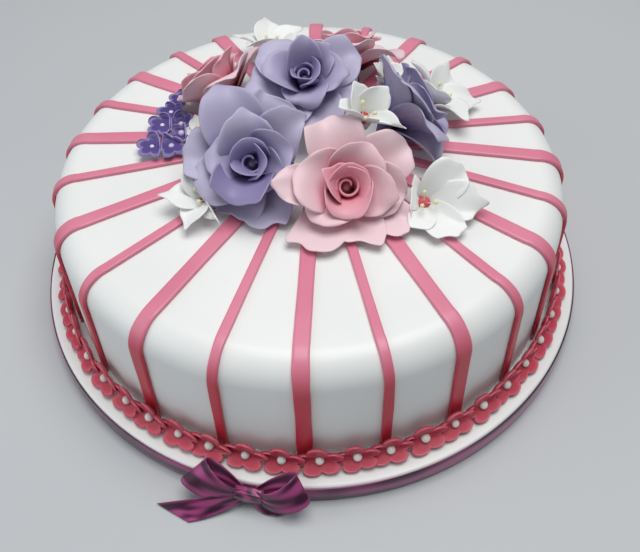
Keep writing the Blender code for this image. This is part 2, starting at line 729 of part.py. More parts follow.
def make_bow():
    knot_middle = bow_point(0, KNOT_OUT, KNOT_RISE)
    knot = bmesh.new()
    bmesh.ops.create_cube(knot, size=1.0, matrix=Matrix.Diagonal((*KNOT_SIZE, 1.0)))
    knot.transform(Matrix.Translation(knot_middle) @ Matrix.Rotation(math.radians(BOW_HEADING), 4, "Z"))
    mesh = bpy.data.meshes.new("knot")
    knot.to_mesh(mesh)
    knot.free()
    knot_object = add_object("knot", mesh, collection=WORK)
    rounding = knot_object.modifiers.new("rounding", "BEVEL")
    rounding.width = 1.4 * MM
    rounding.segments = 1
    solids = [baked(knot_object)]
    solids += [ribbon_length(name, *shape) for name, shape in BOW_LENGTHS.items()]
    fused("ribbon_bow", solids, MATERIALS["ribbon"])


clear_scene()
CAKE = bpy.data.collections.new("iced_cake_on_board")
WORK = bpy.data.collections.new("pieces_being_fused")
for collection in (CAKE, WORK):
    bpy.context.scene.collection.children.link(collection)
MATERIALS = {name: make_material(name) for name in COLOURS}
make_board()
make_board_ribbon()
make_cake()
make_strips()
make_border()
make_spray()
make_bow()
bpy.data.collections.remove(WORK)
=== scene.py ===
"""The looks of the iced celebration cake on its ribboned board.

Every piece is worked out in millimetres about the board's middle and goes into its mesh in metres.
Headings are degrees round the cake, 0 at the front (-Y) and 90 at the right (+X).
"""

import math
from collections import namedtuple

import bpy
import numpy as np
from mathutils import Matrix, Vector


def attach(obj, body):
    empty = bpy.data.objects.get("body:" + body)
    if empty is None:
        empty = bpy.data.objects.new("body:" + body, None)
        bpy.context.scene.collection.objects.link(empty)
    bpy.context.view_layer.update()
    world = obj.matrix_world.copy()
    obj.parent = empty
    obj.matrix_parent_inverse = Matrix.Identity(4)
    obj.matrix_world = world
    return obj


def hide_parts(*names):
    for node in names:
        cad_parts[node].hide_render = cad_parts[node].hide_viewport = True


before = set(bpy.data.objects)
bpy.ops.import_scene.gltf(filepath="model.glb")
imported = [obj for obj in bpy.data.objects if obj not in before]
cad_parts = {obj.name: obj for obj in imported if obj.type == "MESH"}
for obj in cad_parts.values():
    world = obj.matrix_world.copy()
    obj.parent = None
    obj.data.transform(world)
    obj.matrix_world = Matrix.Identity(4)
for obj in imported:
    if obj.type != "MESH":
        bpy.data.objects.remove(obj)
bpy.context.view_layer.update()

MM = 0.001
ROUND_RIM_SHARE = 0.8
UP = np.array([0.0, 0.0, 1.0])

# Board and cake, mm, as the solids have them
BOARD_RADIUS = 151.8
DRUM_THICKNESS = 10.8
BOARD_TOP = 13.5
CAKE_FOOT = 13.8
CAKE_RADIUS = 134.5
CAKE_FLARE = 1.2
CAKE_HEIGHT = 67.5
CAKE_TOP = CAKE_FOOT + CAKE_HEIGHT
CAKE_EDGE_RADIUS = 15.0
CAKE_DOME = 0.8
CAKE_TOP_OVAL = 0.009
CAKE_TOP_SHIFT = 1.2
GAP = 0.3
RIBBON_FOOT = 0.4
RIBBON_WIDTH = 12.4
RIBBON_THICKNESS = 0.6
DRUM_INSET = 0.4
DRUM_BEVEL = 0.5
BOARD_RIM_RADIUS = 1.6
BOARD_SEGMENTS = 192
CAKE_SEGMENTS = 240

# Satin band: its inner face from the board's edge, the lowest and highest it may lie, and its section, as mm
# out from the inner face and share of its width up
BAND_INSIDE = 0.15
BAND_LIMITS = (0.2, 13.1)
BAND_SECTION = (
    (0, 0.97), (0.25, 1.0), (0.5, 0.96), (0.62, 0.7), (0.7, 0.5), (0.62, 0.3), (0.5, 0.04), (0.25, 0.0), (0, 0.03),
)

# Laid strips
STRIP_COUNT = 24
STRIP_WIDE = 7.8
STRIP_NARROW = 4.9
STRIP_THICKNESS = 1.9
STRIP_INNER_RADIUS = 42.0
STRIP_BED = 0.14
STRIP_FOOT_CLEARANCE = 0.6
STRIP_MEETING_POINT = (5.0, 20.0)
STRIP_DRIFT = (-4.88, 0.49, 5.38, 1.59, 0.94)

# A strip's section: half widths across and thicknesses up
STRIP_SECTION = np.array([
    (-1.0, 0.12), (-1.0, 0.5), (-0.97, 0.82), (-0.88, 0.97), (-0.6, 1.0), (0.0, 0.98),
    (0.6, 1.0), (0.88, 0.97), (0.97, 0.82), (1.0, 0.5), (1.0, 0.12), (0.0, 0.0),
])

# Blossom border. A lobe is given by the place of its middle and its radius, as shares of the blossom's radius.
BORDER_COUNT = 50
BLOSSOM_RADIUS = 11.3
BLOSSOM_STRETCH = 1.08
BLOSSOM_THICKNESS = 1.6
BLOSSOM_LAP = 0.09
BLOSSOM_SLOPE = 24.0
BLOSSOM_LOWER_LENGTH = 0.72
BLOSSOM_LOBE = (0.60, 0.395)
BLOSSOM_SPOON = 1.3
BLOSSOM_SPIN = 36.0
FOLD_REACH = 14.0
FOLD_BEND = 2.2
BORDER_PEARL_RADIUS = 2.3
PEARL_STANDOFF = 1.6

# Spray of sugar flowers
BLOOM_FLOOR = CAKE_TOP + CAKE_DOME + 2 * GAP + STRIP_THICKNESS
PETAL_THICKNESS = 0.9
HEART_SHARE = 0.35
NEIGHBOUR_DISTANCE = 90.0
SMALL_BLOSSOM_RADIUS = 8.6
SMALL_PEARL_RADIUS = 1.8
STAR_HEART_HEIGHT = 4.0
STAR_DIMPLE_RADIUS = 3.5
STAMEN_LENGTH = 8.0
STAMEN_RADIUS = 0.25
STAMEN_TIP_RADIUS = 1.1
BUD_TURNS = 1.5
BUD_HEIGHT = 17.5
BUD_FOOT = 5.0
BUD_CORE = 1.6
BUD_THICKNESS = 1.3
BUD_EASE = 8.0
BUD_WIDTH = 5.9
BUD_WIDTHS = {"rose_purple_left": 7.2}

# The hub that carries the petals: radii of its stalk at the icing and half way up, height and radius of the rings
# of its collar, and height and radius of the plug in the flower's heart
HUB_STALK_RADII = (6.4, 5.6)
HUB_COLLAR = ((-1.5, 4.6), (1.0, 4.8))
HUB_SIZES = {"rose": (10.0, 5.6), "star": (3.4, 2.6), "cup": (3.4, 2.6)}

# How petals are pressed against a wall: depth of the soft part, slope beyond it, and how far that slope reaches
PRESS_DEPTH = 3.0
PRESS_SLOPE = 0.02
PRESS_REACH = 20.0

# A petal in its flower's own frame, mm and degrees: turn round the axis, length along its mid-line, half width,
# distance of its foot from the axis and lift above the collar, lean off the axis at foot and tip, radius of its
# hollow across, turning back of its rim, waviness, pointedness and where across it lies, sideways drift of the
# tip, squareness of the end, how deep its colour is, and how far it may pass the plane to the next flower
Petal = namedtuple(
    "Petal",
    "turn length half_width hub lift lean_foot lean_tip cup curl ruffle point point_at drift square tone ease",
)

# A flower: its place in mm from the cake's axis and above the cake's top, tilt and heading of its own axis,
# turn round it, size, reach to the planes that part it from its neighbours, and colour
Bloom = namedtuple("Bloom", "name kind x y z tilt heading spin size reach colour")

OUTER = Petal(0, 34, 18, 4.0, 1.0, 54, 86, 44, 30, 1.4, 0.06, 0.0, 0.0, 0.3, 0.0, 2.0)
SECOND = Petal(0, 23, 14, 3.6, 4.5, 24, 58, 17, 34, 0.8, 0.05, 0.0, 0.0, 0.2, 0.35, 2.0)
INNER = Petal(0, 17, 11, 3.0, 6.5, 4, 26, 9, 22, 0.4, 0.02, 0.0, 0.0, 0.2, 0.7, 2.0)
POINTED = Petal(0, 20, 8.5, 2.0, 3.0, 30, 80, 16, 0, 0.7, 0.22, 0.0, 0.0, 0.0, 0.0, 4.0)
ROUNDED = Petal(0, 15, 7.5, 1.8, 3.0, 22, 58, 12, 0, 0.4, 0.08, 0.0, 0.0, 0.1, 0.0, 4.0)


def laid(pattern, turn, length, half_width, lean_foot, lean_tip, cup, **rest):
    """A petal after a pattern, with its own turn, size, lean and hollow, and the rest where that differs."""
    return pattern._replace(
        turn=turn, length=length, half_width=half_width, lean_foot=lean_foot, lean_tip=lean_tip, cup=cup, **rest
    )


# Flowers whose petals were each laid one by one
LAID_PETALS = {
    "rose_pink_front": (
        laid(OUTER, 38, 34, 14, 54, 86, 44, lift=0.5, curl=20, drift=-2, square=0.5),
        laid(OUTER, 104, 32, 15, 46, 84, 34, lift=3.0, square=0.9),
        laid(OUTER, 178, 34, 12, 54, 74, 12, lift=4.5, curl=10, ease=12),
        laid(OUTER, 240, 40, 13.5, 54, 86, 44, lift=1.0, point=0.16, point_at=-0.6, square=0.8),
        laid(OUTER, 284, 36, 13, 54, 92, 44, lift=3.0, point=0.10, point_at=0.5),
        laid(OUTER, 320, 39, 12, 54, 86, 60, lift=-0.5, square=1.0, curl=10, ruffle=0.6),
        laid(OUTER, 354, 27, 14, 44, 80, 26, lift=3.5, tone=0.1),
        laid(SECOND, 160, 27, 17, 34, 70, 24, tone=0.12, drift=3),
        laid(SECOND, 60, 24, 15, 28, 62, 20, tone=0.2),
        laid(SECOND, 345, 25, 13, 32, 66, 18, tone=0.2),
        laid(SECOND, 220, 25, 14, 34, 66, 20, tone=0.15),
        laid(SECOND, 264, 21, 17, 18, 44, 11, lift=5.5, curl=60, tone=0.6, ruffle=0.0, point=0.0, square=0.1),
        laid(INNER, 84, 17.5, 13, 4, 38, 11, ruffle=0.1),
        laid(INNER, 150, 18.0, 11, 4, 46, 10, point=0.2, ruffle=0.1),
        laid(INNER, 20, 17.0, 11, 4, 40, 10, ruffle=0.1),
    ),
    "rose_purple_left": (
        laid(OUTER, 110, 38, 16, 46, 80, 30, lift=1.5, tone=0.2),
        laid(OUTER, 60, 35, 14, 54, 86, 44, lift=0.0, square=0.7, ruffle=2.0),
        laid(OUTER, 36, 32, 13.5, 46, 80, 26, lift=3.0, point=0.08),
        laid(OUTER, 166, 31, 13.5, 54, 78, 30, lift=1.0, square=0.8),
        laid(OUTER, 205, 29, 14, 42, 76, 24, lift=3.0, curl=60),
        laid(OUTER, 250, 28, 12, 54, 86, 44, lift=1.5, square=0.7, point=0.1, point_at=-0.5),
        laid(OUTER, 288, 36, 15, 54, 86, 44, lift=-0.5, point=0.12, point_at=-0.7, square=0.6, ease=6),
        laid(OUTER, 335, 28, 13, 54, 86, 44, lift=0.0, tone=0.2, ease=0),
        laid(SECOND, 94, 25, 15, 28, 58, 19, tone=0.15, point=0.14),
        laid(SECOND, 170, 23, 13, 28, 60, 17, curl=70, tone=0.25),
        laid(SECOND, 248, 26, 17, 22, 54, 15, tone=0.8, square=0.8),
        laid(SECOND, 8, 23, 15, 26, 62, 17, tone=0.35),
        laid(SECOND, 322, 20, 12, 24, 56, 15, tone=0.5),
        laid(INNER, 96, 17.5, 12.5, 4, 36, 10.5),
        laid(INNER, 210, 15.5, 11, 4, 28, 9.5),
        laid(INNER, 340, 16, 11, 4, 30, 9.5),
    ),
    "rose_purple_top": (
        laid(OUTER, 190, 30, 16, 54, 80, 30, lift=1.0),
        laid(OUTER, 238, 33, 15, 54, 86, 44, lift=0.0, square=0.6, ruffle=2.0),
        laid(OUTER, 290, 34, 14, 54, 86, 24, lift=0.0, curl=90, square=0.5),
        laid(OUTER, 336, 32, 15, 54, 86, 44, lift=1.0, ruffle=2.2, point=0.14),
        laid(OUTER, 22, 31, 15, 54, 78, 30, lift=2.0, square=0.6),
        laid(OUTER, 140, 29, 15, 54, 86, 44, lift=1.5),
        laid(SECOND, 96, 27, 12.5, 4, 34, 11, lift=5, tone=0.45),
        laid(SECOND, 176, 25, 14, 30, 66, 18, tone=0.2),
        laid(SECOND, 268, 22, 14, 30, 70, 20, curl=120, tone=0.3),
        laid(SECOND, 350, 25, 14, 26, 62, 16, tone=0.3, point=0.1),
        laid(SECOND, 40, 24, 12, 16, 48, 13, tone=0.4),
        laid(INNER, 330, 17, 11, 4, 30, 9),
        laid(INNER, 215, 15, 11, 4, 26, 9),
    ),
    "rose_purple_right": (
        laid(OUTER, 186, 30, 16, 40, 72, 30),
        laid(OUTER, 232, 31, 15, 34, 60, 26, curl=50),
        laid(OUTER, 280, 32, 15, 36, 62, 26, curl=70),
        laid(OUTER, 330, 30, 15, 54, 86, 44),
        laid(OUTER, 30, 30, 15, 54, 86, 44),
        laid(OUTER, 100, 31, 16, 54, 86, 44),
        laid(SECOND, 205, 25, 14, 20, 44, 17, tone=0.2),
        laid(SECOND, 262, 25, 14, 18, 42, 17, tone=0.2, curl=60),
        laid(SECOND, 320, 24, 14, 24, 58, 17),
        laid(SECOND, 40, 23, 14, 24, 58, 17),
        laid(SECOND, 125, 23, 14, 24, 58, 17),
        laid(INNER, 230, 17, 11, 4, 26, 9),
        laid(INNER, 330, 17, 11, 4, 26, 9),
        laid(INNER, 90, 17, 11, 4, 26, 9),
    ),
    "star_right": (
        laid(POINTED, 46, 24, 11, 46, 76, 24, square=0.7, point=0.06),
        laid(POINTED, 358, 25, 11, 54, 88, 28, square=0.6),
        laid(POINTED, 302, 24, 10.5, 54, 92, 16, square=0.7, point=0.06),
        laid(POINTED, 238, 15, 9.5, 46, 80, 16, square=0.6, point=0.06),
        laid(POINTED, 150, 15, 9.5, 52, 92, 24, square=0.6),
    ),
    "cup_middle": (
        laid(ROUNDED, 120, 17, 7, 20, 54, 11),
        laid(ROUNDED, 188, 16, 7.5, 26, 62, 11, square=0.5),
        laid(ROUNDED, 48, 17, 7.5, 22, 58, 11),
        laid(ROUNDED, 320, 20, 7.5, 40, 90, 14, point=0.2),
        laid(ROUNDED, 256, 15, 7.5, 36, 80, 13),
    ),
}

# The other flowers: rings of like petals, from the outside in
EVEN_PETALS = {
    "rose": ((OUTER, 5), (SECOND, 5), (INNER, 3)),
    "star": ((POINTED, 5),),
    "cup": ((ROUNDED, 5),),
}

BLOOMS = (
    Bloom("rose_pink_front", "rose", 18, -28, 8.6, 42, 4, 20, 1.02, 37, "pink"),
    Bloom("rose_purple_left", "rose", -27, -14, 13, 40, -6, 52, 1.04, 33, "purple"),
    Bloom("rose_purple_top", "rose", 0, 34, 24, 24, 2, 0, 0.94, 30, "purple"),
    Bloom("rose_purple_right", "rose", 42, 11, 18, 60, 104, 36, 1.08, 31, "purple"),
    Bloom("rose_pink_left", "rose", -42, 44, 12, 46, -135, 16, 0.92, 23, "pink"),
    Bloom("rose_pink_back", "rose", 25, 66, 10, 42, 172, 46, 0.90, 27, "pink"),
    Bloom("star_right", "star", 56, -37, 4, 34, 10, 8, 1.0, 17, "white"),
    Bloom("cup_middle", "cup", 27, -6, 33, 28, 20, 20, 1.05, 13, "white"),
    Bloom("star_left", "star", -51, -29, 3, 26, -30, 30, 0.95, 14, "white"),
    Bloom("star_back_right", "star", 67, 36, 5, 34, 95, 6, 1.15, 18, "white"),
    Bloom("star_back_left", "star", -19, 88, 3, 16, -170, 28, 1.05, 17, "white"),
    Bloom("star_small_left", "star", -55, 21, 3, 26, -80, 26, 0.56, 9.5, "white"),
    Bloom("cup_right", "cup", 43, 46, 14, 16, 60, 26, 0.80, 11, "white"),
    Bloom("blossom_1", "blossom", -78, 29, 3.0, 20, -40, 0, 1.0, 5, "violet"),
    Bloom("blossom_2", "blossom", -68, 29, 3.8, 18, -20, 30, 1.0, 5, "violet"),
    Bloom("blossom_3", "blossom", -82, 12, 3.0, 22, -40, 12, 1.0, 5, "violet"),
    Bloom("blossom_4", "blossom", -72, 12, 3.4, 20, -20, 40, 1.0, 5, "violet"),
    Bloom("blossom_5", "blossom", -74, 39.5, 3.0, 20, -60, 20, 0.95, 5, "violet"),
    Bloom("blossom_6", "blossom", -70, 50, 3.6, 20, -60, 5, 0.8, 5, "violet"),
    Bloom("blossom_7", "blossom", -67, 19.8, 5.4, 16, -30, 55, 0.8, 5, "violet"),
)

# Flowers held by their neighbours, with no stalk of their own down to the cake
TUCKED_IN = ("cup_middle", "cup_right")

# Bow on the board's edge: low and high edge of each length of ribbon, as (along, out, up)
BOW_HEADING = -12.6
BOW_LENGTHS = {
    "bow_loop_left": (
        [(-3, 3.5, 6), (-12, 7.5, 7), (-23, 8, 9), (-31, 5.5, 11),
         (-34, 2.5, 12), (-30, 1.2, 14.5), (-16, 1.4, 14), (-3, 1.8, 8)],
        [(-3, 3.5, 14), (-9, 4.5, 17), (-15, 2.5, 21), (-20, -1.5, 23),
         (-22.4, -5.8, 22), (-19, -7, 19.5), (-11, -3.5, 17), (-3, 1.4, 14.5)],
    ),
    "bow_loop_right": (
        [(3, 3.5, 6), (11, 8, 6.5), (20, 9, 8), (27, 6.5, 11),
         (29.8, 3.6, 14), (26, 1.2, 15.5), (15, 1.4, 14), (3, 1.8, 8)],
        [(3, 3.5, 14), (9, 5, 17), (15, 3.5, 20.5), (19.5, -1, 22.5),
         (21.3, -5.7, 21.5), (18, -7, 19.5), (10, -3.5, 17), (3, 1.4, 14.5)],
    ),
    "bow_tail_left": (
        [(1, 3.0, 5), (-10, 10, 3.2), (-20, 15.5, 1.4), (-27, 18.5, 0.9)],
        [(1, 3.0, 12), (-13, 6.5, 11.5), (-30, 9.5, 6), (-45, 12, 1.2)],
    ),
    "bow_tail_right": (
        [(-1, 3.0, 5), (3, 6, 2.5), (8, 8, 1.2), (14, 8, 0.9)],
        [(-1, 3.0, 12), (10, 4.5, 9), (20, 3.5, 5), (26, 2, 2.5)],
    ),
}
BOW_RIBBON_THICKNESS = 0.5
KNOT_HALF_LENGTH = 6.8

# Camera fitted to the photograph: metres and degrees, its lens and sensor in millimetres
CAMERA_EYE = (0.0, -0.3256, 0.3838)
CAMERA_TARGET = (0.00406, 0.0, -0.0124)
CAMERA_ROLL = -1.57
CAMERA_LENS = 46.81
CAMERA_SENSOR_WIDTH = 36.0
CAMERA_SHIFT = (0.00181, -0.00045)

# Area lights: place and point aimed at in metres, size in metres, power in watts, colour
LIGHTS = {
    "key": ((0.15, 0.02, 1.35), (0.0, 0.0, 0.06), 0.9, 13.0, (1.0, 0.99, 0.97)),
    "fill": ((-1.3, -0.35, 0.7), (0.0, 0.0, 0.05), 1.2, 4.6, (0.93, 0.97, 1.0)),
}
WORLD_COLOUR = (0.92, 0.96, 1.0, 1.0)
WORLD_STRENGTH = 0.25

# A closed surface: points in mm, faces as point numbers, a map for each point, and how deep its colour is
Skin = namedtuple("Skin", "points faces uv tone")


def heading_vector(degrees):
    """The level direction outwards at a heading."""
    angle = math.radians(degrees)
    return np.array([math.sin(angle), -math.cos(angle), 0.0])


def beside(out):
    """The level direction along the rim, towards growing headings, where out points outwards."""
    return np.array([-out[1], out[0], 0.0])


def smooth_step(x):
    """From 0 to 1 along the cubic 3 x^2 - 2 x^3, level before and after."""
    x = np.clip(x, 0.0, 1.0)
    return x * x * (3.0 - 2.0 * x)


def round_points(radius, angle, height):
    """Points at a radius and an angle about the axis, and a height on it."""
    return np.stack([radius * np.cos(angle), radius * np.sin(angle), height], axis=-1)


def grid_quads(index):
    """Quads of a grid of point numbers, facing along (step of rows) x (step of columns)."""
    return np.stack([index[:-1, :-1], index[1:, :-1], index[1:, 1:], index[:-1, 1:]], axis=-1).reshape(-1, 4)


def two_sides(middle, normal, half):
    """The points of a sheet's two sides: its middle moved by half its thickness each way along the normal."""
    return [(middle + normal * half[..., None]).reshape(-1, 3), (middle - normal * half[..., None]).reshape(-1, 3)]


def thin_sheet(surface, cells, thickness, tone=0.0, rim_share=0.45):
    """A thin sheet with closed rims: surface(u, v) moved half its thickness to each side along the normal.

    u runs across from -1 to 1 and v along from 0 to 1. In the last tenth the thickness falls to rim_share.
    """
    u, v = np.meshgrid(np.linspace(-1, 1, cells[0] + 1), np.linspace(0, 1, cells[1] + 1), indexing="ij")
    middle = surface(u, v)
    normal = np.cross(np.gradient(middle, axis=0), np.gradient(middle, axis=1))
    normal /= np.maximum(np.linalg.norm(normal, axis=-1, keepdims=True), 1e-9)
    to_rim = np.minimum(np.minimum(v, 1.0 - v), (1.0 - np.abs(u)) / 2.0)
    half = 0.5 * thickness * (rim_share + (1.0 - rim_share) * smooth_step(to_rim / 0.10))
    count = u.size
    index = np.arange(count).reshape(u.shape)
    rim = np.concatenate([index[:-1, 0], index[-1, :-1], index[:0:-1, -1], index[0, :0:-1]])
    ahead = np.roll(rim, -1)
    wall = np.stack([ahead, rim, rim + count, ahead + count], axis=-1)
    back = grid_quads(index)[:, ::-1] + count
    faces = np.concatenate([grid_quads(index), back, wall])
    points = np.concatenate(two_sides(middle, normal, half))
    uv = np.tile(np.stack([(u + 1.0) / 2.0, v], axis=-1).reshape(-1, 2), (2, 1))
    return Skin(points, faces.tolist(), uv, np.full(2 * count, tone))


def round_sheet(surface, segments, rings, thickness):
    """A thin round sheet: surface(u, v) with u once round (-1 to 1) and v from the middle to the rim.

    Towards the rim the thickness falls to ROUND_RIM_SHARE.
    """
    u, v = np.meshgrid(np.linspace(-1, 1, segments, endpoint=False), np.linspace(0, 1, rings + 1)[1:], indexing="ij")
    middle = surface(u, v)
    du = np.roll(middle, -1, axis=0) - np.roll(middle, 1, axis=0)
    dv = np.gradient(middle, axis=1)
    normal = np.cross(dv, du)
    normal /= np.maximum(np.linalg.norm(normal, axis=-1, keepdims=True), 1e-9)
    heart = surface(np.zeros((1, 1)), np.zeros((1, 1)))[0, 0]
    heart = middle[:, 0].mean(axis=0) * 0.5 + heart * 0.5
    heart_normal = normal[:, 0].mean(axis=0)
    heart_normal /= np.linalg.norm(heart_normal)
    half = 0.5 * thickness * (ROUND_RIM_SHARE + (1 - ROUND_RIM_SHARE) * smooth_step((1 - v) / 0.15))
    count = u.size
    index = np.arange(count).reshape(u.shape)
    ring = np.concatenate([index, index[:1]], axis=0)
    front = grid_quads(ring)[:, ::-1]
    back = grid_quads(ring) + count
    rim = np.stack([ring[1:, -1], ring[:-1, -1], ring[:-1, -1] + count, ring[1:, -1] + count], axis=-1)[:, ::-1]
    top, bottom = 2 * count, 2 * count + 1
    fan = np.stack([np.full(segments, top), ring[1:, 0], ring[:-1, 0]], axis=-1)
    fan_back = np.stack([np.full(segments, bottom), ring[:-1, 0] + count, ring[1:, 0] + count], axis=-1)
    tips = [[heart + heart_normal * thickness / 2], [heart - heart_normal * thickness / 2]]
    points = np.concatenate(two_sides(middle, normal, half) + tips)
    uv = np.stack([(u + 1) / 2, v], axis=-1).reshape(-1, 2)
    uv = np.concatenate([uv, uv, [[0.5, 0.0]], [[0.5, 0.0]]])
    faces = np.concatenate([front, back, rim]).tolist() + fan.tolist() + fan_back.tolist()
    return Skin(points, faces, uv, np.zeros(len(points)))


def tube_skin(rows, tone=0.0, closed=False):
    """A solid from rows of points round a section, carried along: its ends are closed, or joined up.

    Where they are joined up, its map runs there and back, so that no seam shows.
    """
    length, around = rows.shape[:2]
    index = np.arange(length * around).reshape(length, around)
    ring = np.concatenate([index, index[:, :1]], axis=1)
    if closed:
        ring = np.concatenate([ring, ring[:1]], axis=0)
    faces = grid_quads(ring).tolist()
    points = rows.reshape(-1, 3)
    along = np.abs(np.linspace(-1, 1, length, endpoint=False)) if closed else np.linspace(0, 1, length)
    uv = np.stack(np.meshgrid(along, np.linspace(0, 1, around), indexing="ij"), axis=-1).reshape(-1, 2)
    if not closed:
        faces += [index[0].tolist(), index[-1, ::-1].tolist()]
    return Skin(points, faces, uv, np.full(len(points), tone))


def turned_skin(profile, segments):
    """A profile of (radius, height) pairs turned round the axis; it starts and ends on the axis.

    The profile runs down the outer side, so the faces point outwards.
    """
    profile = np.array(profile, float)
    angle = np.linspace(0.0, 2.0 * np.pi, segments, endpoint=False)
    inner = profile[1:-1]
    points = np.stack([
        inner[:, :1] * np.cos(angle), inner[:, :1] * np.sin(angle), np.repeat(inner[:, 1:], segments, axis=1)
    ], axis=-1)
    index = np.arange(points.shape[0] * segments).reshape(-1, segments)
    ring = np.concatenate([index, index[:, :1]], axis=1)
    faces = grid_quads(ring).tolist()
    top, bottom = index.size, index.size + 1
    faces += np.stack([np.full(segments, top), ring[0, :-1], ring[0, 1:]], axis=-1).tolist()
    faces += np.stack([np.full(segments, bottom), ring[-1, 1:], ring[-1, :-1]], axis=-1).tolist()
    points = np.concatenate([points.reshape(-1, 3), [[0, 0, profile[0, 1]]], [[0, 0, profile[-1, 1]]]])
    return Skin(points, faces, points[:, :2] / 100.0, np.zeros(len(points)))


def ball_skin(centre, radius, axis=UP, squash=1.0, rings=8, segments=12):
    """A round or flattened ball: circles of latitude about axis, with a point at each pole."""
    latitude = np.linspace(0.0, np.pi, rings + 1)
    profile = np.stack([np.sin(latitude), np.cos(latitude) * squash], axis=-1) * radius
    ball = turned_skin(profile, segments)
    turn = np.array(Vector(axis).to_track_quat("Z", "Y").to_matrix())
    return ball._replace(points=ball.points @ turn.T + np.array(centre))


def joined(skins):
    """Several skins as one."""
    points, faces, uv, tone, start = [], [], [], [], 0
    for skin in skins:
        points.append(skin.points)
        uv.append(skin.uv)
        tone.append(skin.tone)
        faces += [[corner + start for corner in face] for face in skin.faces]
        start += len(skin.points)
    return Skin(np.concatenate(points), faces, np.concatenate(uv), np.concatenate(tone))


def add_object(name, data):
    made = bpy.data.objects.new(name, data)
    bpy.context.scene.collection.objects.link(made)
    return made


def add_piece(name, skin, material, replaced=()):
    """Puts a skin into a mesh, in metres, with its UV map and tone, and lets it ride on the cake."""
    mesh = bpy.data.meshes.new(name)
    mesh.from_pydata((skin.points * MM).tolist(), [], skin.faces)
    corners = np.empty(len(mesh.loops), np.int32)
    mesh.loops.foreach_get("vertex_index", corners)
    layer = mesh.uv_layers.new(name="Sheet")
    layer.data.foreach_set("uv", skin.uv[corners].astype(np.float32).ravel())
    tones = mesh.attributes.new("Tone", "FLOAT", "POINT")
    tones.data.foreach_set("value", skin.tone.astype(np.float32))
    mesh.polygons.foreach_set("use_smooth", np.ones(len(mesh.polygons), bool))
    mesh.materials.append(material)
    mesh.update()
    piece = add_object(name, mesh)
    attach(piece, "root")
    if replaced:
        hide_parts(*replaced)


def shade(code):
    """A hex colour as linear red, green, blue, alpha."""
    parts = [int(code[i:i + 2], 16) / 255.0 for i in (0, 2, 4)]
    linear = [p / 12.92 if p <= 0.04045 else ((p + 0.055) / 1.055) ** 2.4 for p in parts]
    return (*linear, 1.0)


class NodeBench:
    """Places and joins the nodes of one tree."""

    def __init__(self, tree):
        self.tree = tree

    def node(self, kind, settings=None, **inputs):
        """A new node. An underscore in an input's name stands for a space."""
        made = self.tree.nodes.new(kind)
        for key, value in (settings or {}).items():
            setattr(made, key, value)
        for key, value in inputs.items():
            self.feed(made, key.replace("_", " "), value)
        return made

    def feed(self, made, key, value):
        """Links another node's socket to an input, or sets the input's own value."""
        socket = made.inputs[int(key)] if key.isdigit() else made.inputs[key]
        if isinstance(value, bpy.types.NodeSocket):
            self.tree.links.new(value, socket)
        else:
            socket.default_value = value

    def place(self):
        """The point itself, in metres."""
        return self.node("ShaderNodeTexCoord").outputs["Object"]

    def sheet(self):
        """The piece's own map, across and along."""
        return self.node("ShaderNodeUVMap", {"uv_map": "Sheet"}).outputs[0]

    def parts(self, vector):
        return self.node("ShaderNodeSeparateXYZ", Vector=vector).outputs

    def noise(self, place, scale, detail, roughness=0.5):
        made = self.node("ShaderNodeTexNoise", Vector=place, Scale=scale, Detail=detail, Roughness=roughness)
        return made.outputs[0]

    def math(self, operation, a, b, clamp=False):
        made = self.node("ShaderNodeMath", {"operation": operation, "use_clamp": clamp})
        self.feed(made, "0", a)
        self.feed(made, "1", b)
        return made.outputs[0]

    def times(self, a, b):
        return self.math("MULTIPLY", a, b)

    def plus(self, a, b, clamp=False):
        return self.math("ADD", a, b, clamp)

    def minus(self, a, b):
        return self.math("SUBTRACT", a, b)

    def mix(self, factor, a, b):
        made = self.node("ShaderNodeMix", {"data_type": "RGBA"})
        self.feed(made, "0", factor)
        self.feed(made, "6", a)
        self.feed(made, "7", b)
        return made.outputs[2]

    def ramp(self, value, low, high, to_low=0.0, to_high=1.0):
        made = self.node(
            "ShaderNodeMapRange", {"interpolation_type": "SMOOTHSTEP"},
            Value=value, From_Min=low, From_Max=high, To_Min=to_low, To_Max=to_high,
        )
        return made.outputs[0]


def new_group(name, inputs, outputs):
    """A node group with the given sockets: (name, kind, value) for inputs and (name, kind) for outputs."""
    group = bpy.data.node_groups.new(name, "ShaderNodeTree")
    for label, kind, value in inputs:
        group.interface.new_socket(label, in_out="INPUT", socket_type=kind).default_value = value
    for label, kind in outputs:
        group.interface.new_socket(label, in_out="OUTPUT", socket_type=kind)
    bench = NodeBench(group)
    return group, bench, bench.node("NodeGroupInput").outputs, bench.node("NodeGroupOutput")


def sugar_paste_group():
    """Rolled paste: a fine grain, shallow finger marks, and a faint uneven tint."""
    group, bench, given, result = new_group(
        "sugar_paste",
        [("Scale", "NodeSocketFloat", 1.0), ("Marks", "NodeSocketFloat", 0.5)],
        [("Height", "NodeSocketFloat"), ("Mottle", "NodeSocketFloat")],
    )
    place = bench.place()
    grain = bench.noise(place, bench.times(given["Scale"], 1400.0), 3.0, 0.6)
    dents = bench.noise(place, bench.times(given["Scale"], 70.0), 1.0, 0.4)
    broad = bench.noise(place, bench.times(given["Scale"], 22.0), 2.0)
    bench.feed(result, "Height", bench.plus(bench.times(grain, 0.12), bench.times(dents, given["Marks"])))
    bench.feed(result, "Mottle", bench.ramp(broad, 0.3, 0.7))
    return group


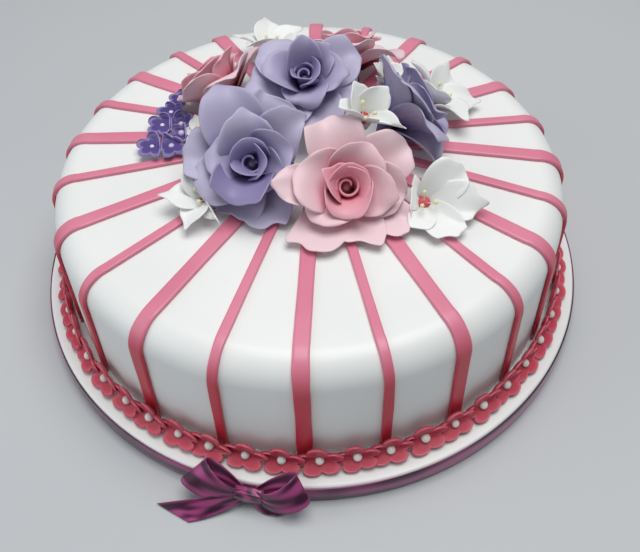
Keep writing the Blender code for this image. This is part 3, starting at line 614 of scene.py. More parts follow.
def petal_tint_group():
    """A petal's colour from its own map: deep at the foot, pale at the rim, streaked along its veins, with painted
    shade of the flower's heart darkening its foot.
    """
    group, bench, given, result = new_group(
        "petal_tint",
        [
            ("Pale", "NodeSocketColor", (1, 1, 1, 1)),
            ("Deep", "NodeSocketColor", (0.5, 0.5, 0.5, 1)),
            ("Heart", "NodeSocketColor", (0, 0, 0, 1)),
            ("Foot Reach", "NodeSocketFloat", 0.3),
        ],
        [("Colour", "NodeSocketColor"), ("Height", "NodeSocketFloat"), ("Rim", "NodeSocketFloat")],
    )
    across, along = bench.parts(bench.sheet())[:2]
    tone = bench.node("ShaderNodeAttribute", {"attribute_name": "Tone"}).outputs["Fac"]
    cloud = bench.noise(bench.place(), 90.0, 2.0)
    drawn_out = bench.node("ShaderNodeCombineXYZ", X=bench.times(across, 26.0),
                           Y=bench.times(along, 2.5), Z=bench.times(tone, 9.0))
    streaks = bench.noise(drawn_out.outputs[0], 1.0, 2.0)
    lifted = bench.plus(along, bench.times(bench.minus(cloud, 0.5), 0.25))
    lifted = bench.plus(lifted, bench.times(bench.minus(streaks, 0.5), 0.18))
    foot = bench.ramp(lifted, 0.05, 0.68, 1.0, 0.0)
    inner = bench.times(tone, 0.85)
    depth = bench.plus(inner, bench.times(foot, bench.minus(1.0, inner)), clamp=True)
    colour = bench.mix(depth, given["Pale"], given["Deep"])
    growth = bench.times(bench.math("POWER", tone, 3.0), 2.2)
    reach = bench.times(given["Foot Reach"], bench.plus(growth, 0.9))
    # The foot of each petal takes the painted shade of the flower's heart, reaching further up the deeper-toned
    # petals.
    heart_shade_share = bench.times(bench.ramp(along, 0.0, reach, 1.0, 0.0), 0.92)
    colour = bench.mix(heart_shade_share, colour, given["Heart"])
    edge = bench.math("MINIMUM", bench.minus(1.0, along),
                      bench.math("MINIMUM", across, bench.minus(1.0, across)))
    rim = bench.ramp(edge, 0.0, 0.05, 1.0, 0.0)
    bench.feed(result, "Colour", colour)
    bench.feed(result, "Height", bench.times(streaks, 0.5))
    bench.feed(result, "Rim", rim)
    return group


def satin_group():
    """Woven satin: painted shade in the valleys and painted highlights on the ridges of its folds, under fine
    threads.
    """
    group, bench, given, result = new_group(
        "satin",
        [("Dark", "NodeSocketColor", (0, 0, 0, 1)), ("Light", "NodeSocketColor", (1, 1, 1, 1))],
        [("Colour", "NodeSocketColor"), ("Height", "NodeSocketFloat"), ("Roughness", "NodeSocketFloat")],
    )
    place = bench.place()
    threads = bench.noise(place, 1500.0, 2.0)
    folds = bench.noise(place, 45.0, 1.0, 0.4)
    sheen_bands = bench.noise(bench.sheet(), 3.2, 0.0)
    # Folds and bands along the ribbon mix the painted shade of the valleys with the painted highlights of the
    # ridges.
    tint = bench.plus(bench.times(folds, 0.3), bench.times(sheen_bands, 0.7))
    bench.feed(result, "Colour", bench.mix(bench.ramp(tint, 0.38, 0.64), given["Dark"], given["Light"]))
    bench.feed(result, "Height", bench.plus(bench.times(threads, 0.01), folds))
    bench.feed(result, "Roughness", bench.ramp(threads, 0.3, 0.7, 0.30, 0.35))
    return group


def finished(name, build, **constants):
    """A material whose shader takes its constants straight and its changing values from build(bench, shader)."""
    material = bpy.data.materials.new(name)
    material.use_nodes = True
    tree = material.node_tree
    tree.nodes.clear()
    bench = NodeBench(tree)
    shader = bench.node("ShaderNodeBsdfPrincipled", **constants)
    output = bench.node("ShaderNodeOutputMaterial")
    tree.links.new(shader.outputs[0], output.inputs["Surface"])
    build(bench, shader)
    return material


def add_bump(bench, shader, height, strength, distance):
    bump = bench.node("ShaderNodeBump", Height=height, Strength=strength, Distance=distance * MM)
    bench.feed(shader, "Normal", bump.outputs[0])


def placed_group(bench, group, **inputs):
    made = bench.node("ShaderNodeGroup", {"node_tree": group})
    for key, value in inputs.items():
        bench.feed(made, key.replace("_", " "), value)
    return made.outputs


SUGAR_PASTE = sugar_paste_group()
PETAL_TINT = petal_tint_group()
SATIN = satin_group()


def mottled(bench, paste, colours):
    """The uneven tint of a paste, from a light to a dark hex colour."""
    return bench.mix(paste["Mottle"], *map(shade, colours))


def paste_material(name, colours, roughness, marks, scale, coat=0.0, bump=0.25):
    """Rolled paste of one light and one dark hex colour."""
    def build(bench, shader):
        paste = placed_group(bench, SUGAR_PASTE, Scale=scale, Marks=marks)
        bench.feed(shader, "Base Color", mottled(bench, paste, colours))
        add_bump(bench, shader, paste["Height"], bump, 0.5)

    return finished(name, build, Roughness=roughness, Coat_Weight=coat, Coat_Roughness=0.25)


def height_above_table(bench):
    return bench.parts(bench.place())[2]


def outward_share(bench):
    """0 in the middle of a blossom and 1 at its rim."""
    return bench.parts(bench.sheet())[1]


def two_tone_and_shaded_paste(name, place, change, first, second, scale, marks, depth=0.5, **constants):
    """Rolled paste that goes from its first pair of colours to its second as place(bench) passes change; on the
    strips that change is painted light and shade.
    """
    def build(bench, shader):
        paste = placed_group(bench, SUGAR_PASTE, Scale=scale, Marks=marks)
        passed = bench.ramp(place(bench), *change)
        colour = bench.mix(passed, mottled(bench, paste, first), mottled(bench, paste, second))
        bench.feed(shader, "Base Color", colour)
        add_bump(bench, shader, paste["Height"], 0.2, depth)

    return finished(name, build, **constants)


def petal_material(name, colours, foot_reach, roughness):
    """Petal paste of three hex colours: at the rim, towards the foot, and the painted shade in the flower's heart.
    """
    # The third colour is painted shade, the darkness deep in the flower's heart.
    pale, deep, heart = map(shade, colours)

    def build(bench, shader):
        petal = placed_group(bench, PETAL_TINT, Pale=pale, Deep=deep, Heart=heart, Foot_Reach=foot_reach)
        paste = placed_group(bench, SUGAR_PASTE, Scale=1.4, Marks=0.3)
        rim_light = bench.mix(bench.times(petal["Rim"], 0.35), petal["Colour"], pale)
        bench.feed(shader, "Base Color", rim_light)
        add_bump(bench, shader, bench.plus(petal["Height"], paste["Height"]), 0.3, 0.3)

    return finished(name, build, Roughness=roughness)


def satin_material():
    """Plum satin with painted shade in its valleys and painted highlights on its ridges."""
    def build(bench, shader):
        # 3A1030 is the painted shade of the satin's valleys and A8447F the painted highlight on its ridges.
        satin = placed_group(bench, SATIN, Dark=shade("3A1030"), Light=shade("A8447F"))
        bench.feed(shader, "Base Color", satin["Colour"])
        bench.feed(shader, "Roughness", satin["Roughness"])
        add_bump(bench, shader, satin["Height"], 0.25, 0.8)

    return finished("plum_satin", build, Sheen_Weight=0.3, Sheen_Roughness=0.4, Metallic=0.25)


def foil_material():
    """Silver foil, embossed in small cells."""
    def build(bench, shader):
        cells = bench.node("ShaderNodeTexVoronoi", Vector=bench.place(), Scale=420.0).outputs["Distance"]
        bench.feed(shader, "Base Color", bench.mix(cells, shade("D9DBE2"), shade("A9ACB8")))
        add_bump(bench, shader, cells, 0.4, 0.3)

    return finished("silver_foil", build, Metallic=0.9, Roughness=0.28)


ICING = paste_material("white_icing", ("F4F6F5", "EEF1F0"), 0.42, 0.9, 0.5, coat=0.12, bump=0.12)
# The strips are deeper on the cake's side as painted shade and paler over the top as a painted highlight from the
# light above.
STRIP = two_tone_and_shaded_paste(
    "coral_strip_paste", height_above_table, (0.064, 0.084), ("D2344A", "C62A40"), ("E58AA3", "DE7E98"), 1.0, 0.5,
    Roughness=0.40, Coat_Weight=0.15, Coat_Roughness=0.3,
)
BORDER = two_tone_and_shaded_paste(
    "coral_blossom_paste", outward_share, (0.62, 1.0), ("C84258", "BC384E"), ("DC6276", "D2566C"), 1.2, 0.4,
    Roughness=0.42, Coat_Weight=0.1, Coat_Roughness=0.3,
)
VIOLET_BLOSSOM = two_tone_and_shaded_paste(
    "violet_blossom_paste", outward_share, (0.70, 1.0), ("5C4C8E", "4A3A7C"), ("A596CC", "9486BE"), 1.6, 0.3,
    depth=0.4, Roughness=0.42,
)
PEARL = paste_material("pearl_sugar", ("F2F1EC", "E6E4DE"), 0.3, 0.2, 2.0, coat=0.4, bump=0.1)
LILAC_PEARL = paste_material("lilac_pearl_sugar", ("E6DCEF", "D6CBE6"), 0.3, 0.2, 2.0, coat=0.3, bump=0.1)
STAMEN = paste_material("stamen_tip", ("F0EEC8", "E2DFAE"), 0.45, 0.2, 3.0, bump=0.1)
DIMPLE = paste_material("coral_dimple", ("D8576A", "C84058"), 0.5, 0.3, 2.0, bump=0.2)
# The third colour of each petal paste is the painted shade in the flower's heart.
PETALS = {
    "pink": petal_material("pink_petal", ("F0D2DA", "E06C86", "4A0814"), 0.30, 0.5),
    "purple": petal_material("purple_petal", ("BEB8D4", "7566A2", "0C0716"), 0.30, 0.5),
    "white": petal_material("white_petal", ("F2F4F3", "E4E8E6", "D8CFC8"), 0.15, 0.45),
}
SATIN_RIBBON = satin_material()
FOIL = foil_material()


def quarter_arc(centre, radius, steps):
    """Points of a quarter circle about centre, from straight above it round to beside it."""
    angle = np.radians(np.linspace(90, 0, steps + 1))
    return np.stack([centre[0] + radius * np.cos(angle), centre[1] + radius * np.sin(angle)], axis=-1)


def hand_shaped(points):
    """The cake's top as iced by hand: a little wider than deep and set back, growing with the height."""
    share = np.clip((points[..., 2] - CAKE_FOOT) / CAKE_HEIGHT, 0.0, 1.0)
    x = points[..., 0] * (1.0 + CAKE_TOP_OVAL * share)
    y = points[..., 1] * (1.0 - CAKE_TOP_OVAL * share) + CAKE_TOP_SHIFT * share
    return np.stack([x, y, points[..., 2]], axis=-1)


def dress_board():
    """The foil drum with bevelled rims, and its icing with a rounded rim and two low waves round it."""
    drum, bevel = BOARD_RADIUS - DRUM_INSET, DRUM_BEVEL
    profile = [(0, DRUM_THICKNESS), (drum - 30, DRUM_THICKNESS), (drum - bevel, DRUM_THICKNESS),
               (drum, DRUM_THICKNESS - bevel), (drum, bevel), (drum - bevel, 0), (drum - 30, 0), (0, 0)]
    add_piece("foil_drum", turned_skin(profile, BOARD_SEGMENTS), FOIL, ["board_drum"])
    rim = quarter_arc((BOARD_RADIUS - BOARD_RIM_RADIUS, BOARD_TOP - BOARD_RIM_RADIUS), BOARD_RIM_RADIUS, 8)
    underside = DRUM_THICKNESS + GAP
    flat = [(r, BOARD_TOP) for r in (0, 50, 100, 125, 140, 148)]
    profile = np.concatenate([flat, rim, [(BOARD_RADIUS, underside), (100, underside), (0, underside)]])
    icing = turned_skin(profile, BOARD_SEGMENTS)
    turn = np.arctan2(icing.points[:, 1], icing.points[:, 0])
    wave = 0.18 * np.sin(7 * turn + 1.0) + 0.12 * np.sin(17 * turn + 2.0)
    outer = smooth_step((np.hypot(icing.points[:, 0], icing.points[:, 1]) - 120) / 30)
    icing.points[:, 2] += np.where(icing.points[:, 2] > underside + 0.2, wave * outer, 0.0)
    add_piece("iced_board", icing, ICING, ["board_icing"])


def dress_band():
    """The satin band: its section carried round the board's edge, sagging and swelling in slow sines."""
    turn = np.linspace(0, 2 * np.pi, 240, endpoint=False)
    sag = 0.35 * np.sin(5 * turn + 0.5) + 0.2 * np.sin(13 * turn)
    proud = RIBBON_THICKNESS * (0.5 + 0.5 * np.sin(9 * turn + 1.3) * np.sin(4 * turn))
    rows = []
    for outset, height in BAND_SECTION:
        out = BOARD_RADIUS + BAND_INSIDE + outset + 0.5 * proud * math.sin(math.pi * height)
        up = RIBBON_FOOT + RIBBON_WIDTH * height + sag * (0.6 if height > 0.5 else 0.25) * (height - 0.02)
        rows.append(round_points(out, turn, np.clip(up, *BAND_LIMITS)))
    band = np.stack(rows, axis=1)
    add_piece("satin_band", tube_skin(band[:, ::-1], closed=True), SATIN_RIBBON, ["board_ribbon"])


def dress_cake():
    """The iced cake: a domed top, a rounded edge and nearly upright sides, turned and then hand shaped."""
    edge = quarter_arc((CAKE_RADIUS - CAKE_EDGE_RADIUS, CAKE_TOP - CAKE_EDGE_RADIUS), CAKE_EDGE_RADIUS, 16)
    top = [(r, CAKE_TOP + CAKE_DOME * (1 - r / (CAKE_RADIUS - CAKE_EDGE_RADIUS))) for r in range(0, 119, 10)]
    side_heights = np.linspace(CAKE_TOP - CAKE_EDGE_RADIUS, CAKE_FOOT, 9)[1:]
    share = (CAKE_TOP - CAKE_EDGE_RADIUS - side_heights) / (CAKE_TOP - CAKE_EDGE_RADIUS - CAKE_FOOT)
    side = np.stack([CAKE_RADIUS + CAKE_FLARE * share, side_heights], axis=-1)
    profile = np.concatenate([top, edge, side, [(60, CAKE_FOOT), (0, CAKE_FOOT)]])
    skin = turned_skin(profile, CAKE_SEGMENTS)
    add_piece("iced_cake_body", skin._replace(points=hand_shaped(skin.points)), ICING, ["iced_cake"])


def strip_heading(index):
    """Heading where a strip crosses the cake's edge: even spacing plus the drift of hand laying."""
    even = 360.0 * index / STRIP_COUNT
    a = math.radians(even)
    steady, cos_one, sin_one, cos_two, sin_two = STRIP_DRIFT
    drift = steady + cos_one * math.cos(a) + sin_one * math.sin(a)
    return even + drift + cos_two * math.cos(2 * a) + sin_two * math.sin(2 * a)


def strip_spine(out):
    """A strip's mid-line in the direction out, and its normals: over the top, round the edge, down the side."""
    shoulder = CAKE_RADIUS - CAKE_EDGE_RADIUS
    meeting = np.array([*STRIP_MEETING_POINT, 0.0])
    run = out * shoulder - meeting
    inner = meeting + run / np.linalg.norm(run) * STRIP_INNER_RADIUS
    dome = CAKE_DOME * (1.0 - np.linalg.norm(inner) / shoulder)
    ahead = np.linspace(0.0, 1.0, 15)[:, None]
    flat = (inner + UP * (CAKE_TOP + dome)) * (1 - ahead) + (out * shoulder + UP * CAKE_TOP) * ahead
    corner = quarter_arc((0.0, 0.0), CAKE_EDGE_RADIUS, 14)[1:]
    bent = out * (shoulder + corner[:, :1]) + UP * (CAKE_TOP - CAKE_EDGE_RADIUS + corner[:, 1:])
    foot = out * (CAKE_RADIUS + CAKE_FLARE) + UP * (CAKE_FOOT + STRIP_FOOT_CLEARANCE)
    down = bent[-1] * (1 - ahead[1:]) + foot * ahead[1:]
    normals = np.concatenate([
        np.tile(UP, (len(flat), 1)), (out * corner[:, :1] + UP * corner[:, 1:]) / CAKE_EDGE_RADIUS,
        np.tile(out, (len(down), 1)),
    ])
    return np.concatenate([flat, bent, down]), normals


def dress_strips():
    """Each strip is a soft-edged flat section carried from the spray over the cake's edge to its foot.

    Sines of the way along it sway it and vary its width and thickness a little, each strip by its own phases.
    """
    rng = np.random.default_rng(3)
    for index in range(STRIP_COUNT):
        half = (STRIP_WIDE if index % 2 == 0 else STRIP_NARROW) / 2.0
        out = heading_vector(strip_heading(index))
        spine, normals = strip_spine(out)
        t = np.linspace(0.0, 1.0, len(spine))
        phase = rng.uniform(0, 6.28, 4)
        sway = 0.22 * np.sin(9 * t + phase[0]) * np.sin(np.pi * t)
        width = half * (1 + 0.03 * np.sin(13 * t + phase[1]) + 0.02 * np.sin(31 * t + phase[2]))
        thick = STRIP_THICKNESS * (0.97 + 0.03 * np.sin(17 * t + phase[3]))
        across = STRIP_SECTION[:, 0] * width[:, None] + sway[:, None]
        lift = STRIP_BED + STRIP_SECTION[:, 1] * thick[:, None]
        rows = spine[:, None] + beside(out) * across[..., None] + normals[:, None] * lift[..., None]
        name = f"strip_{index + 1:02d}"
        add_piece("laid_" + name, tube_skin(hand_shaped(rows)), STRIP, [name])


def lobed_share(turn, v):
    """Five round lobes: the share of the radius at a turn and at v out to the rim, and the bearing in the lobe.

    A lobe is a circle of radius r whose middle is m from the flower's. Its outline follows the circle, at
    m * cos + sqrt(r^2 - (m * sin)^2) of the bearing from the lobe's middle.
    """
    middle, radius = BLOSSOM_LOBE
    bearing = (turn + np.pi / 5) % (2 * np.pi / 5) - np.pi / 5
    across = middle * np.sin(bearing)
    outline = middle * np.cos(bearing) + np.sqrt(radius**2 - across**2)
    return outline * (0.04 + 0.96 * v), bearing


def lobe_rise(share, bearing):
    """How far a point lies from its lobe's middle, squared, in lobe radii: a spoon's rise."""
    middle, radius = BLOSSOM_LOBE
    x, y = share * np.cos(bearing) - middle, share * np.sin(bearing)
    return (x**2 + y**2) / radius**2


def border_fold():
    """The border's section: down the cake's side, round a small bend and out along the sloping lower petals.

    Its angle turns by a smooth step of the length along it, and its points are the running sums of the angle's
    cosine and sine.
    """
    slope = math.radians(BLOSSOM_SLOPE)
    s = np.linspace(-FOLD_REACH, FOLD_REACH, 281)
    share = smooth_step((s + FOLD_BEND) / (2 * FOLD_BEND))
    angle = -np.pi / 2 + share * (np.pi / 2 - slope)
    step = s[1] - s[0]
    x = np.concatenate([[0.0], np.cumsum(np.cos(angle[1:]) * step)])
    z = np.concatenate([[0.0], np.cumsum(np.sin(angle[1:]) * step)])
    middle = len(s) // 2
    return s, x - x[0], z - z[middle], angle


def dress_border():
    """Fifty blossoms pressed into the corner between cake and board, each lapping over the next.

    A blossom is a round sheet with five lobes. The distance outwards from its middle runs along the border's
    section, and it is lifted off that section by its lap, which grows along the ring, and by its spoons.
    """
    s, fold_x, fold_z, fold_angle = border_fold()
    rng = np.random.default_rng(7)
    skin_room = BLOSSOM_THICKNESS / 2 + BLOSSOM_LAP * BLOSSOM_RADIUS * BLOSSOM_STRETCH
    wall = CAKE_RADIUS + CAKE_FLARE + STRIP_THICKNESS + 2 * GAP + skin_room - 0.3
    slope = math.radians(BLOSSOM_SLOPE)
    height = BOARD_TOP + 0.2 + skin_room + BLOSSOM_RADIUS * BLOSSOM_LOWER_LENGTH * math.sin(slope)
    blossoms, pearls = [], []
    for index in range(BORDER_COUNT):
        heading = 360.0 * (index + rng.uniform(-0.06, 0.06)) / BORDER_COUNT
        out = heading_vector(heading)
        side = beside(out)
        size = rng.uniform(0.96, 1.02)
        spin = math.radians(BLOSSOM_SPIN + rng.uniform(-14, 14))
        lean = rng.uniform(0.7, 1.2)

        def surface(u, v):
            turn = np.pi * u
            share, bearing = lobed_share(turn, v)
            reach = BLOSSOM_RADIUS * size * share
            outward = reach * np.cos(turn + spin)
            along = reach * np.sin(turn + spin) * BLOSSOM_STRETCH
            spoon = BLOSSOM_SPOON * smooth_step(0.5 - outward / BLOSSOM_RADIUS) * v**2
            lap = BLOSSOM_LAP * lean * along + spoon * lobe_rise(share, bearing)
            path = np.where(outward > 0, outward * BLOSSOM_LOWER_LENGTH, outward)
            x = np.interp(path, s, fold_x)
            z = np.interp(path, s, fold_z)
            angle = np.interp(path, s, fold_angle)
            radius = wall + x - np.sin(angle) * lap
            rise = height + z + np.cos(angle) * lap
            return radius[..., None] * out + along[..., None] * side + rise[..., None] * UP

        blossoms.append(round_sheet(surface, 80, 9, BLOSSOM_THICKNESS))
        centre = out * (wall + PEARL_STANDOFF) + UP * (height + PEARL_STANDOFF)
        axis = out * 0.72 + UP * 0.7
        pearls.append(ball_skin(centre, BORDER_PEARL_RADIUS * rng.uniform(0.92, 1.08), axis, 0.85))
    add_piece("blossom_garland", joined(blossoms), BORDER, ["blossom_border"])
    add_piece("garland_pearls", joined(pearls), PEARL)


def bloom_frame(bloom):
    """Rotation and place of a flower, so that its own Z points along its axis."""
    axis = Vector(UP).cross(Vector(heading_vector(bloom.heading)))
    turn = Matrix.Rotation(math.radians(bloom.tilt), 3, axis)
    return np.array(turn), np.array([bloom.x, bloom.y, CAKE_TOP + bloom.z])


def bloom_heart(bloom):
    """The middle of a flower's body, a third of its reach up its axis."""
    turn, place = bloom_frame(bloom)
    return place + turn[:, 2] * HEART_SHARE * bloom.reach


def bloom_walls(bloom, ease):
    """The floor, and the planes that part a flower from its neighbours moved out by ease: (normal, offset)."""
    heart = bloom_heart(bloom)
    walls = [(-UP, -BLOOM_FLOOR)]
    for other in BLOOMS:
        apart = bloom_heart(other) - heart
        distance = np.linalg.norm(apart)
        if other is bloom or distance > NEIGHBOUR_DISTANCE:
            continue
        share = (distance**2 + bloom.reach**2 - other.reach**2) / (2.0 * distance)
        normal = apart / distance
        walls.append((normal, heart @ normal + share + ease))
    return walls


def pressed(points, walls, room):
    """Points beyond a wall are pressed against it, in order, and stay at least room inside its face."""
    points = points.copy()
    for _ in range(3):
        for normal, offset in walls:
            face = offset - room - PRESS_SLOPE * PRESS_REACH
            deep = np.clip(points @ normal - (face - PRESS_DEPTH), 0.0, None)
            kept = PRESS_DEPTH * (1.0 - np.exp(-deep / PRESS_DEPTH)) + PRESS_SLOPE * deep
            points -= np.clip(deep - kept, 0.0, None)[..., None] * normal
    for _ in range(40):
        for normal, offset in walls:
            points -= np.clip(points @ normal - (offset - room), 0.0, None)[..., None] * normal
    return points


def petal_surface(petal, size, phase):
    """A petal in its flower's own frame: u across from -1 to 1, v from foot to tip.

    Its mid-line leaves the hub and turns from lean_foot to lean_tip off the axis, then back by curl at the rim.
    Its half width is a sine of v, wider at the end of a square petal. Each cross line is an arc of radius cup,
    so a small cup wraps the petal round the hub. Two sines of u make its rim wave.
    """
    stations = np.linspace(0.0, 1.3, 131)
    lean = petal.lean_foot + (petal.lean_tip - petal.lean_foot) * stations**0.9
    lean = np.radians(lean + petal.curl * smooth_step((stations - 0.66) / 0.44))
    step = petal.length * (stations[1] - stations[0])
    reaches = petal.hub + np.concatenate([[0.0], np.cumsum(np.sin(lean[1:]) * step)])
    rises = petal.lift + np.concatenate([[0.0], np.cumsum(np.cos(lean[1:]) * step)])
    turn = math.radians(petal.turn)

    def surface(u, v):
        half = petal.half_width * np.sin(np.pi * (0.15 + (0.60 - 0.12 * petal.square) * v))
        pointed = petal.point * v**6 * np.exp(-(((u - petal.point_at) / 0.3) ** 2))
        uneven = 0.007 * v**4 * np.sin(6.0 * u + 1.7 * phase) + 0.004 * v**4 * np.sin(11.0 * u + phase)
        along = v - (0.22 - 0.16 * petal.square) * u**2 * v**2 + pointed + uneven
        angle = np.interp(along, stations, lean)
        bend = u * half / petal.cup
        lift = petal.cup * (1.0 - np.cos(bend))
        lift += petal.ruffle * v**2 * (np.sin(3.8 * u + phase) + 0.2 * np.sin(8.0 * u + 2.3 * phase))
        lift += 2.0 * u - 0.08 * petal.half_width * np.abs(u) ** 3 * v**2
        radial = np.interp(along, stations, reaches) - lift * np.cos(angle)
        side = petal.cup * np.sin(bend) + petal.drift * v**2
        up = np.interp(along, stations, rises) + lift * np.sin(angle)
        x = radial * math.cos(turn) - side * math.sin(turn)
        y = radial * math.sin(turn) + side * math.cos(turn)
        return np.stack([x, y, up], axis=-1) * size

    return surface


def bud_surface(size, spin, width):
    """The rolled heart of a rose: one sheet wound round the axis, its radius growing with its turn.

    The radius swells with the height as a sine, and the sheet's top rises with the turn and waves a little.
    """
    def surface(u, v):
        t = (u + 1.0) / 2.0
        turn = spin + t * BUD_TURNS * 2 * np.pi
        radius = (BUD_CORE + (width - BUD_CORE) * t**0.6) * (0.50 + 0.55 * np.sin(np.pi * (0.12 + 0.50 * v)))
        top = BUD_HEIGHT * (0.78 + 0.22 * t) + 0.3 * np.sin(1.3 * turn)
        return round_points(radius, turn, BUD_FOOT + v * (top - BUD_FOOT)) * size

    return surface


def hub_skin(bloom, turn, place):
    """The paste that carries the petals: a cone from the icing to the collar, and a plug inside the heart."""
    heart_height, heart_radius = HUB_SIZES[bloom.kind]
    rows = []
    angle = np.linspace(0, 2 * np.pi, 24, endpoint=False)
    ring = round_points(1.0, angle, 0 * angle)
    ground = np.array([place[0], place[1], min(BLOOM_FLOOR, place[2] - 1.0)])
    if bloom.name not in TUCKED_IN:
        at_icing, half_way = HUB_STALK_RADII
        rows += [ground + ring * at_icing, (ground + place) / 2 + ring * half_way]
    for height, radius in (*HUB_COLLAR, (0.7 * heart_height, heart_radius), (heart_height, 1.0)):
        rows.append(place + (ring * radius + [0, 0, height]) @ turn.T * bloom.size)
    # A tone of 1.0 gives the hub the deepest colour and the painted shade of the flower's heart.
    return tube_skin(np.array(rows)[:, ::-1], 1.0)


def bloom_petals(bloom, rng):
    """The flower's petals: laid one by one, or in even rings that are each a little unlike the next."""
    if bloom.name in LAID_PETALS:
        return LAID_PETALS[bloom.name]
    petals = []
    for depth, (pattern, count) in enumerate(EVEN_PETALS[bloom.kind]):
        for n in range(count):
            petals.append(pattern._replace(
                turn=bloom.spin + 360.0 * (n + 0.5 * depth) / count + rng.uniform(-7, 7),
                length=pattern.length * rng.uniform(0.92, 1.04),
                lean_tip=pattern.lean_tip + rng.uniform(-9, 9),
                lift=pattern.lift + 1.2 * (n % 2),
                curl=pattern.curl * rng.uniform(0.6, 2.2),
            ))
    return petals


def dress_blooms():
    """Each flower: its hub and petals in one skin, with a rolled heart in a rose and stamens in a white flower."""
    for number, bloom in enumerate(BLOOMS):
        turn, place = bloom_frame(bloom)
        if bloom.kind == "blossom":
            dress_small_blossom(bloom, turn, place, bloom_walls(bloom, 2.0))
            continue
        rng = np.random.default_rng(100 + number)

        def at_place(surface, ease):
            walls = bloom_walls(bloom, ease)
            return lambda u, v: pressed(surface(u, v) @ turn.T + place, walls, PETAL_THICKNESS / 2)

        skins = [hub_skin(bloom, turn, place)]
        for petal in bloom_petals(bloom, rng):
            shape = at_place(petal_surface(petal, bloom.size, rng.uniform(0, 6.28)), petal.ease)
            skins.append(thin_sheet(shape, (28, 28), PETAL_THICKNESS, petal.tone))
        if bloom.kind == "rose":
            width = BUD_WIDTHS.get(bloom.name, BUD_WIDTH)
            bud = at_place(bud_surface(bloom.size, math.radians(bloom.spin), width), BUD_EASE)
            # A tone of 1.0 gives the rolled heart the deepest colour, with painted shade darkening it towards its
            # foot.
            skins.append(thin_sheet(bud, (90, 14), BUD_THICKNESS, 1.0, rim_share=0.8))
        else:
            add_star_centre(bloom, turn, place, rng)
        add_piece(bloom.name + "_petals", joined(skins), PETALS[bloom.colour], [bloom.name])


def add_star_centre(bloom, turn, place, rng):
    """A coral dimple at the heart of a white flower, and stamens with round tips."""
    heart = place + turn[:, 2] * STAR_HEART_HEIGHT * bloom.size
    dimple = ball_skin(heart, STAR_DIMPLE_RADIUS * bloom.size, turn[:, 2], 0.5)
    add_piece(bloom.name + "_dimple", dimple, DIMPLE)
    tips = []
    for n in range(3):
        angle = 2 * math.pi * n / 3 + rng.uniform(-0.4, 0.4)
        lean = turn @ np.array([0.5 * math.cos(angle), 0.5 * math.sin(angle), 1.0])
        tip = heart + lean * STAMEN_LENGTH * bloom.size
        tips.append(ball_skin(tip, STAMEN_TIP_RADIUS, lean, 1.3, 6, 10))
        tips.append(stalk_skin(heart, tip, STAMEN_RADIUS))
    add_piece(bloom.name + "_stamens", joined(tips), STAMEN)


def stalk_skin(start, stop, radius):
    """A straight stalk of six sides."""
    turn = np.array(Vector(stop - start).to_track_quat("Z", "Y").to_matrix())
    angle = np.linspace(0, 2 * np.pi, 6, endpoint=False)
    ring = round_points(radius, angle, 0 * angle) @ turn.T
    return tube_skin(np.stack([start + ring, stop + ring]))


def dress_small_blossom(bloom, turn, place, walls):
    """A five-lobed blossom with a pearl: a bowl that rises with the radius squared, and a spoon in each lobe."""
    spin = math.radians(bloom.spin)

    def surface(u, v):
        angle = np.pi * u
        share, bearing = lobed_share(angle, v)
        radius = SMALL_BLOSSOM_RADIUS * bloom.size * share
        rise = 0.045 * radius**2 + 1.5 * lobe_rise(share, bearing) * v**2
        return pressed(round_points(radius, angle + spin, rise) @ turn.T + place, walls, 0.3)

    add_piece(bloom.name + "_petals", round_sheet(surface, 80, 10, 0.9), VIOLET_BLOSSOM, [bloom.name])
    pearl = ball_skin(place + turn[:, 2] * 2.0, SMALL_PEARL_RADIUS, turn[:, 2])
    add_piece(bloom.name + "_pearl", pearl, LILAC_PEARL)


def bow_point(local):
    """A point of the bow from its place along the rim, outward from the ribbon, and above the table."""
    outward = heading_vector(BOW_HEADING)
    face = BOARD_RADIUS + GAP + RIBBON_THICKNESS
    return outward * (face + local[..., 1:2]) + beside(outward) * local[..., 0:1] + UP * local[..., 2:3]


def through(points, v):
    """A smooth curve through a few points: the Catmull-Rom cubic between each pair."""
    points = np.array(points, float)
    count = len(points) - 1
    seat = np.clip(v * count, 0, count - 1e-9)
    i = seat.astype(int)
    t = (seat - i)[..., None]
    padded = np.concatenate([[2 * points[0] - points[1]], points, [2 * points[-1] - points[-2]]])
    a, b, c, d = padded[i], padded[i + 1], padded[i + 2], padded[i + 3]
    square = (2 * a - 5 * b + 4 * c - d) * t**2
    cube = (3 * b - 3 * c + d - a) * t**3
    return 0.5 * (2 * b + (c - a) * t + square + cube)


def dress_bow():
    """Four lengths of ribbon and the knot that holds them.

    A length is ruled between the smooth curves of its low and high edge, with pleats that die away from the
    knot. The knot is a tube whose section is a rounded square, from powers of a cosine and a sine, a little
    thinner at its ends.
    """
    skins = []
    for number, (low, high) in enumerate(BOW_LENGTHS.values()):
        def surface(u, v):
            share = ((u + 1.0) / 2.0)[..., None]
            local = through(low, v) * (1 - share) + through(high, v) * share
            local[..., 1] += 0.35 * np.exp(-v * 5.0) * np.sin(3.2 * np.pi * u + number)
            return bow_point(local)

        skins.append(thin_sheet(surface, (20, 70), BOW_RIBBON_THICKNESS, rim_share=0.7))
    angle = np.linspace(0, 2 * np.pi, 48, endpoint=False)
    across = np.linspace(-1, 1, 13)[:, None]
    x = KNOT_HALF_LENGTH * across + 0 * angle
    swell = 1.0 - 0.10 * across**2 + 0.05 * np.cos(6 * angle + 2 * across)
    y = 3.5 + 2.9 * np.sign(np.cos(angle)) * np.abs(np.cos(angle)) ** 0.6 * swell
    z = 10.0 + 4.4 * np.sign(np.sin(angle)) * np.abs(np.sin(angle)) ** 0.6 * swell
    skins.append(tube_skin(bow_point(np.stack([x, y, z], axis=-1))))
    add_piece("satin_bow", joined(skins), SATIN_RIBBON, ["ribbon_bow"])


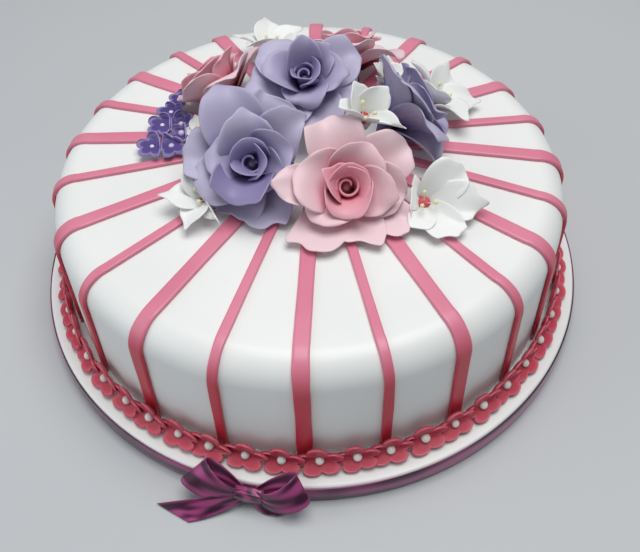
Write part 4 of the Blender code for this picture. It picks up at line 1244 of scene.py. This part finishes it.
def set_the_table():
    """A plain pale floor, 6 m square."""
    mesh = bpy.data.meshes.new("floor")
    mesh.from_pydata([(-3, -3, 0), (3, -3, 0), (3, 3, 0), (-3, 3, 0)], [], [(0, 1, 2, 3)])
    floor = add_object("floor", mesh)

    def build(bench, shader):
        cloud = bench.noise(bench.place(), 3.0, 2.0)
        bench.feed(shader, "Base Color", bench.mix(cloud, shade("C9CCCF"), shade("C0C4C8")))

    mesh.materials.append(finished("pale_floor", build, Roughness=0.6))


def light_the_room():
    """Soft light from above and from the left, and a dim sky."""
    for name, (place, aim, size, power, colour) in LIGHTS.items():
        light = bpy.data.lights.new(name, "AREA")
        light.size = size
        light.energy = power
        light.color = colour
        lamp = add_object(name, light)
        lamp.location = place
        lamp.rotation_euler = (Vector(aim) - Vector(place)).to_track_quat("-Z", "Y").to_euler()
    world = bpy.data.worlds.new("studio")
    world.use_nodes = True
    sky = world.node_tree.nodes["Background"]
    sky.inputs["Color"].default_value = WORLD_COLOUR
    sky.inputs["Strength"].default_value = WORLD_STRENGTH
    bpy.context.scene.world = world
    bpy.context.scene.view_settings.view_transform = "Standard"


def aim_the_camera():
    """The camera at the photograph's angle, rolled a little about its own axis."""
    eye, target = Vector(CAMERA_EYE), Vector(CAMERA_TARGET)
    forward = (target - eye).normalized()
    right = forward.cross(Vector(UP)).normalized()
    above = right.cross(forward)
    roll = math.radians(CAMERA_ROLL)
    right, above = right * math.cos(roll) + above * math.sin(roll), above * math.cos(roll) - right * math.sin(roll)
    camera = bpy.data.cameras.new("camera")
    camera.sensor_width = CAMERA_SENSOR_WIDTH
    camera.lens = CAMERA_LENS
    camera.shift_x, camera.shift_y = CAMERA_SHIFT
    camera.clip_start = 0.01
    viewer = add_object("camera", camera)
    pose = Matrix((right, above, -forward)).transposed().to_4x4()
    pose.translation = eye
    viewer.matrix_world = pose
    bpy.context.scene.camera = viewer


set_the_table()
light_the_room()
aim_the_camera()
dress_board()
dress_band()
dress_cake()
dress_strips()
dress_border()
dress_blooms()
dress_bow()
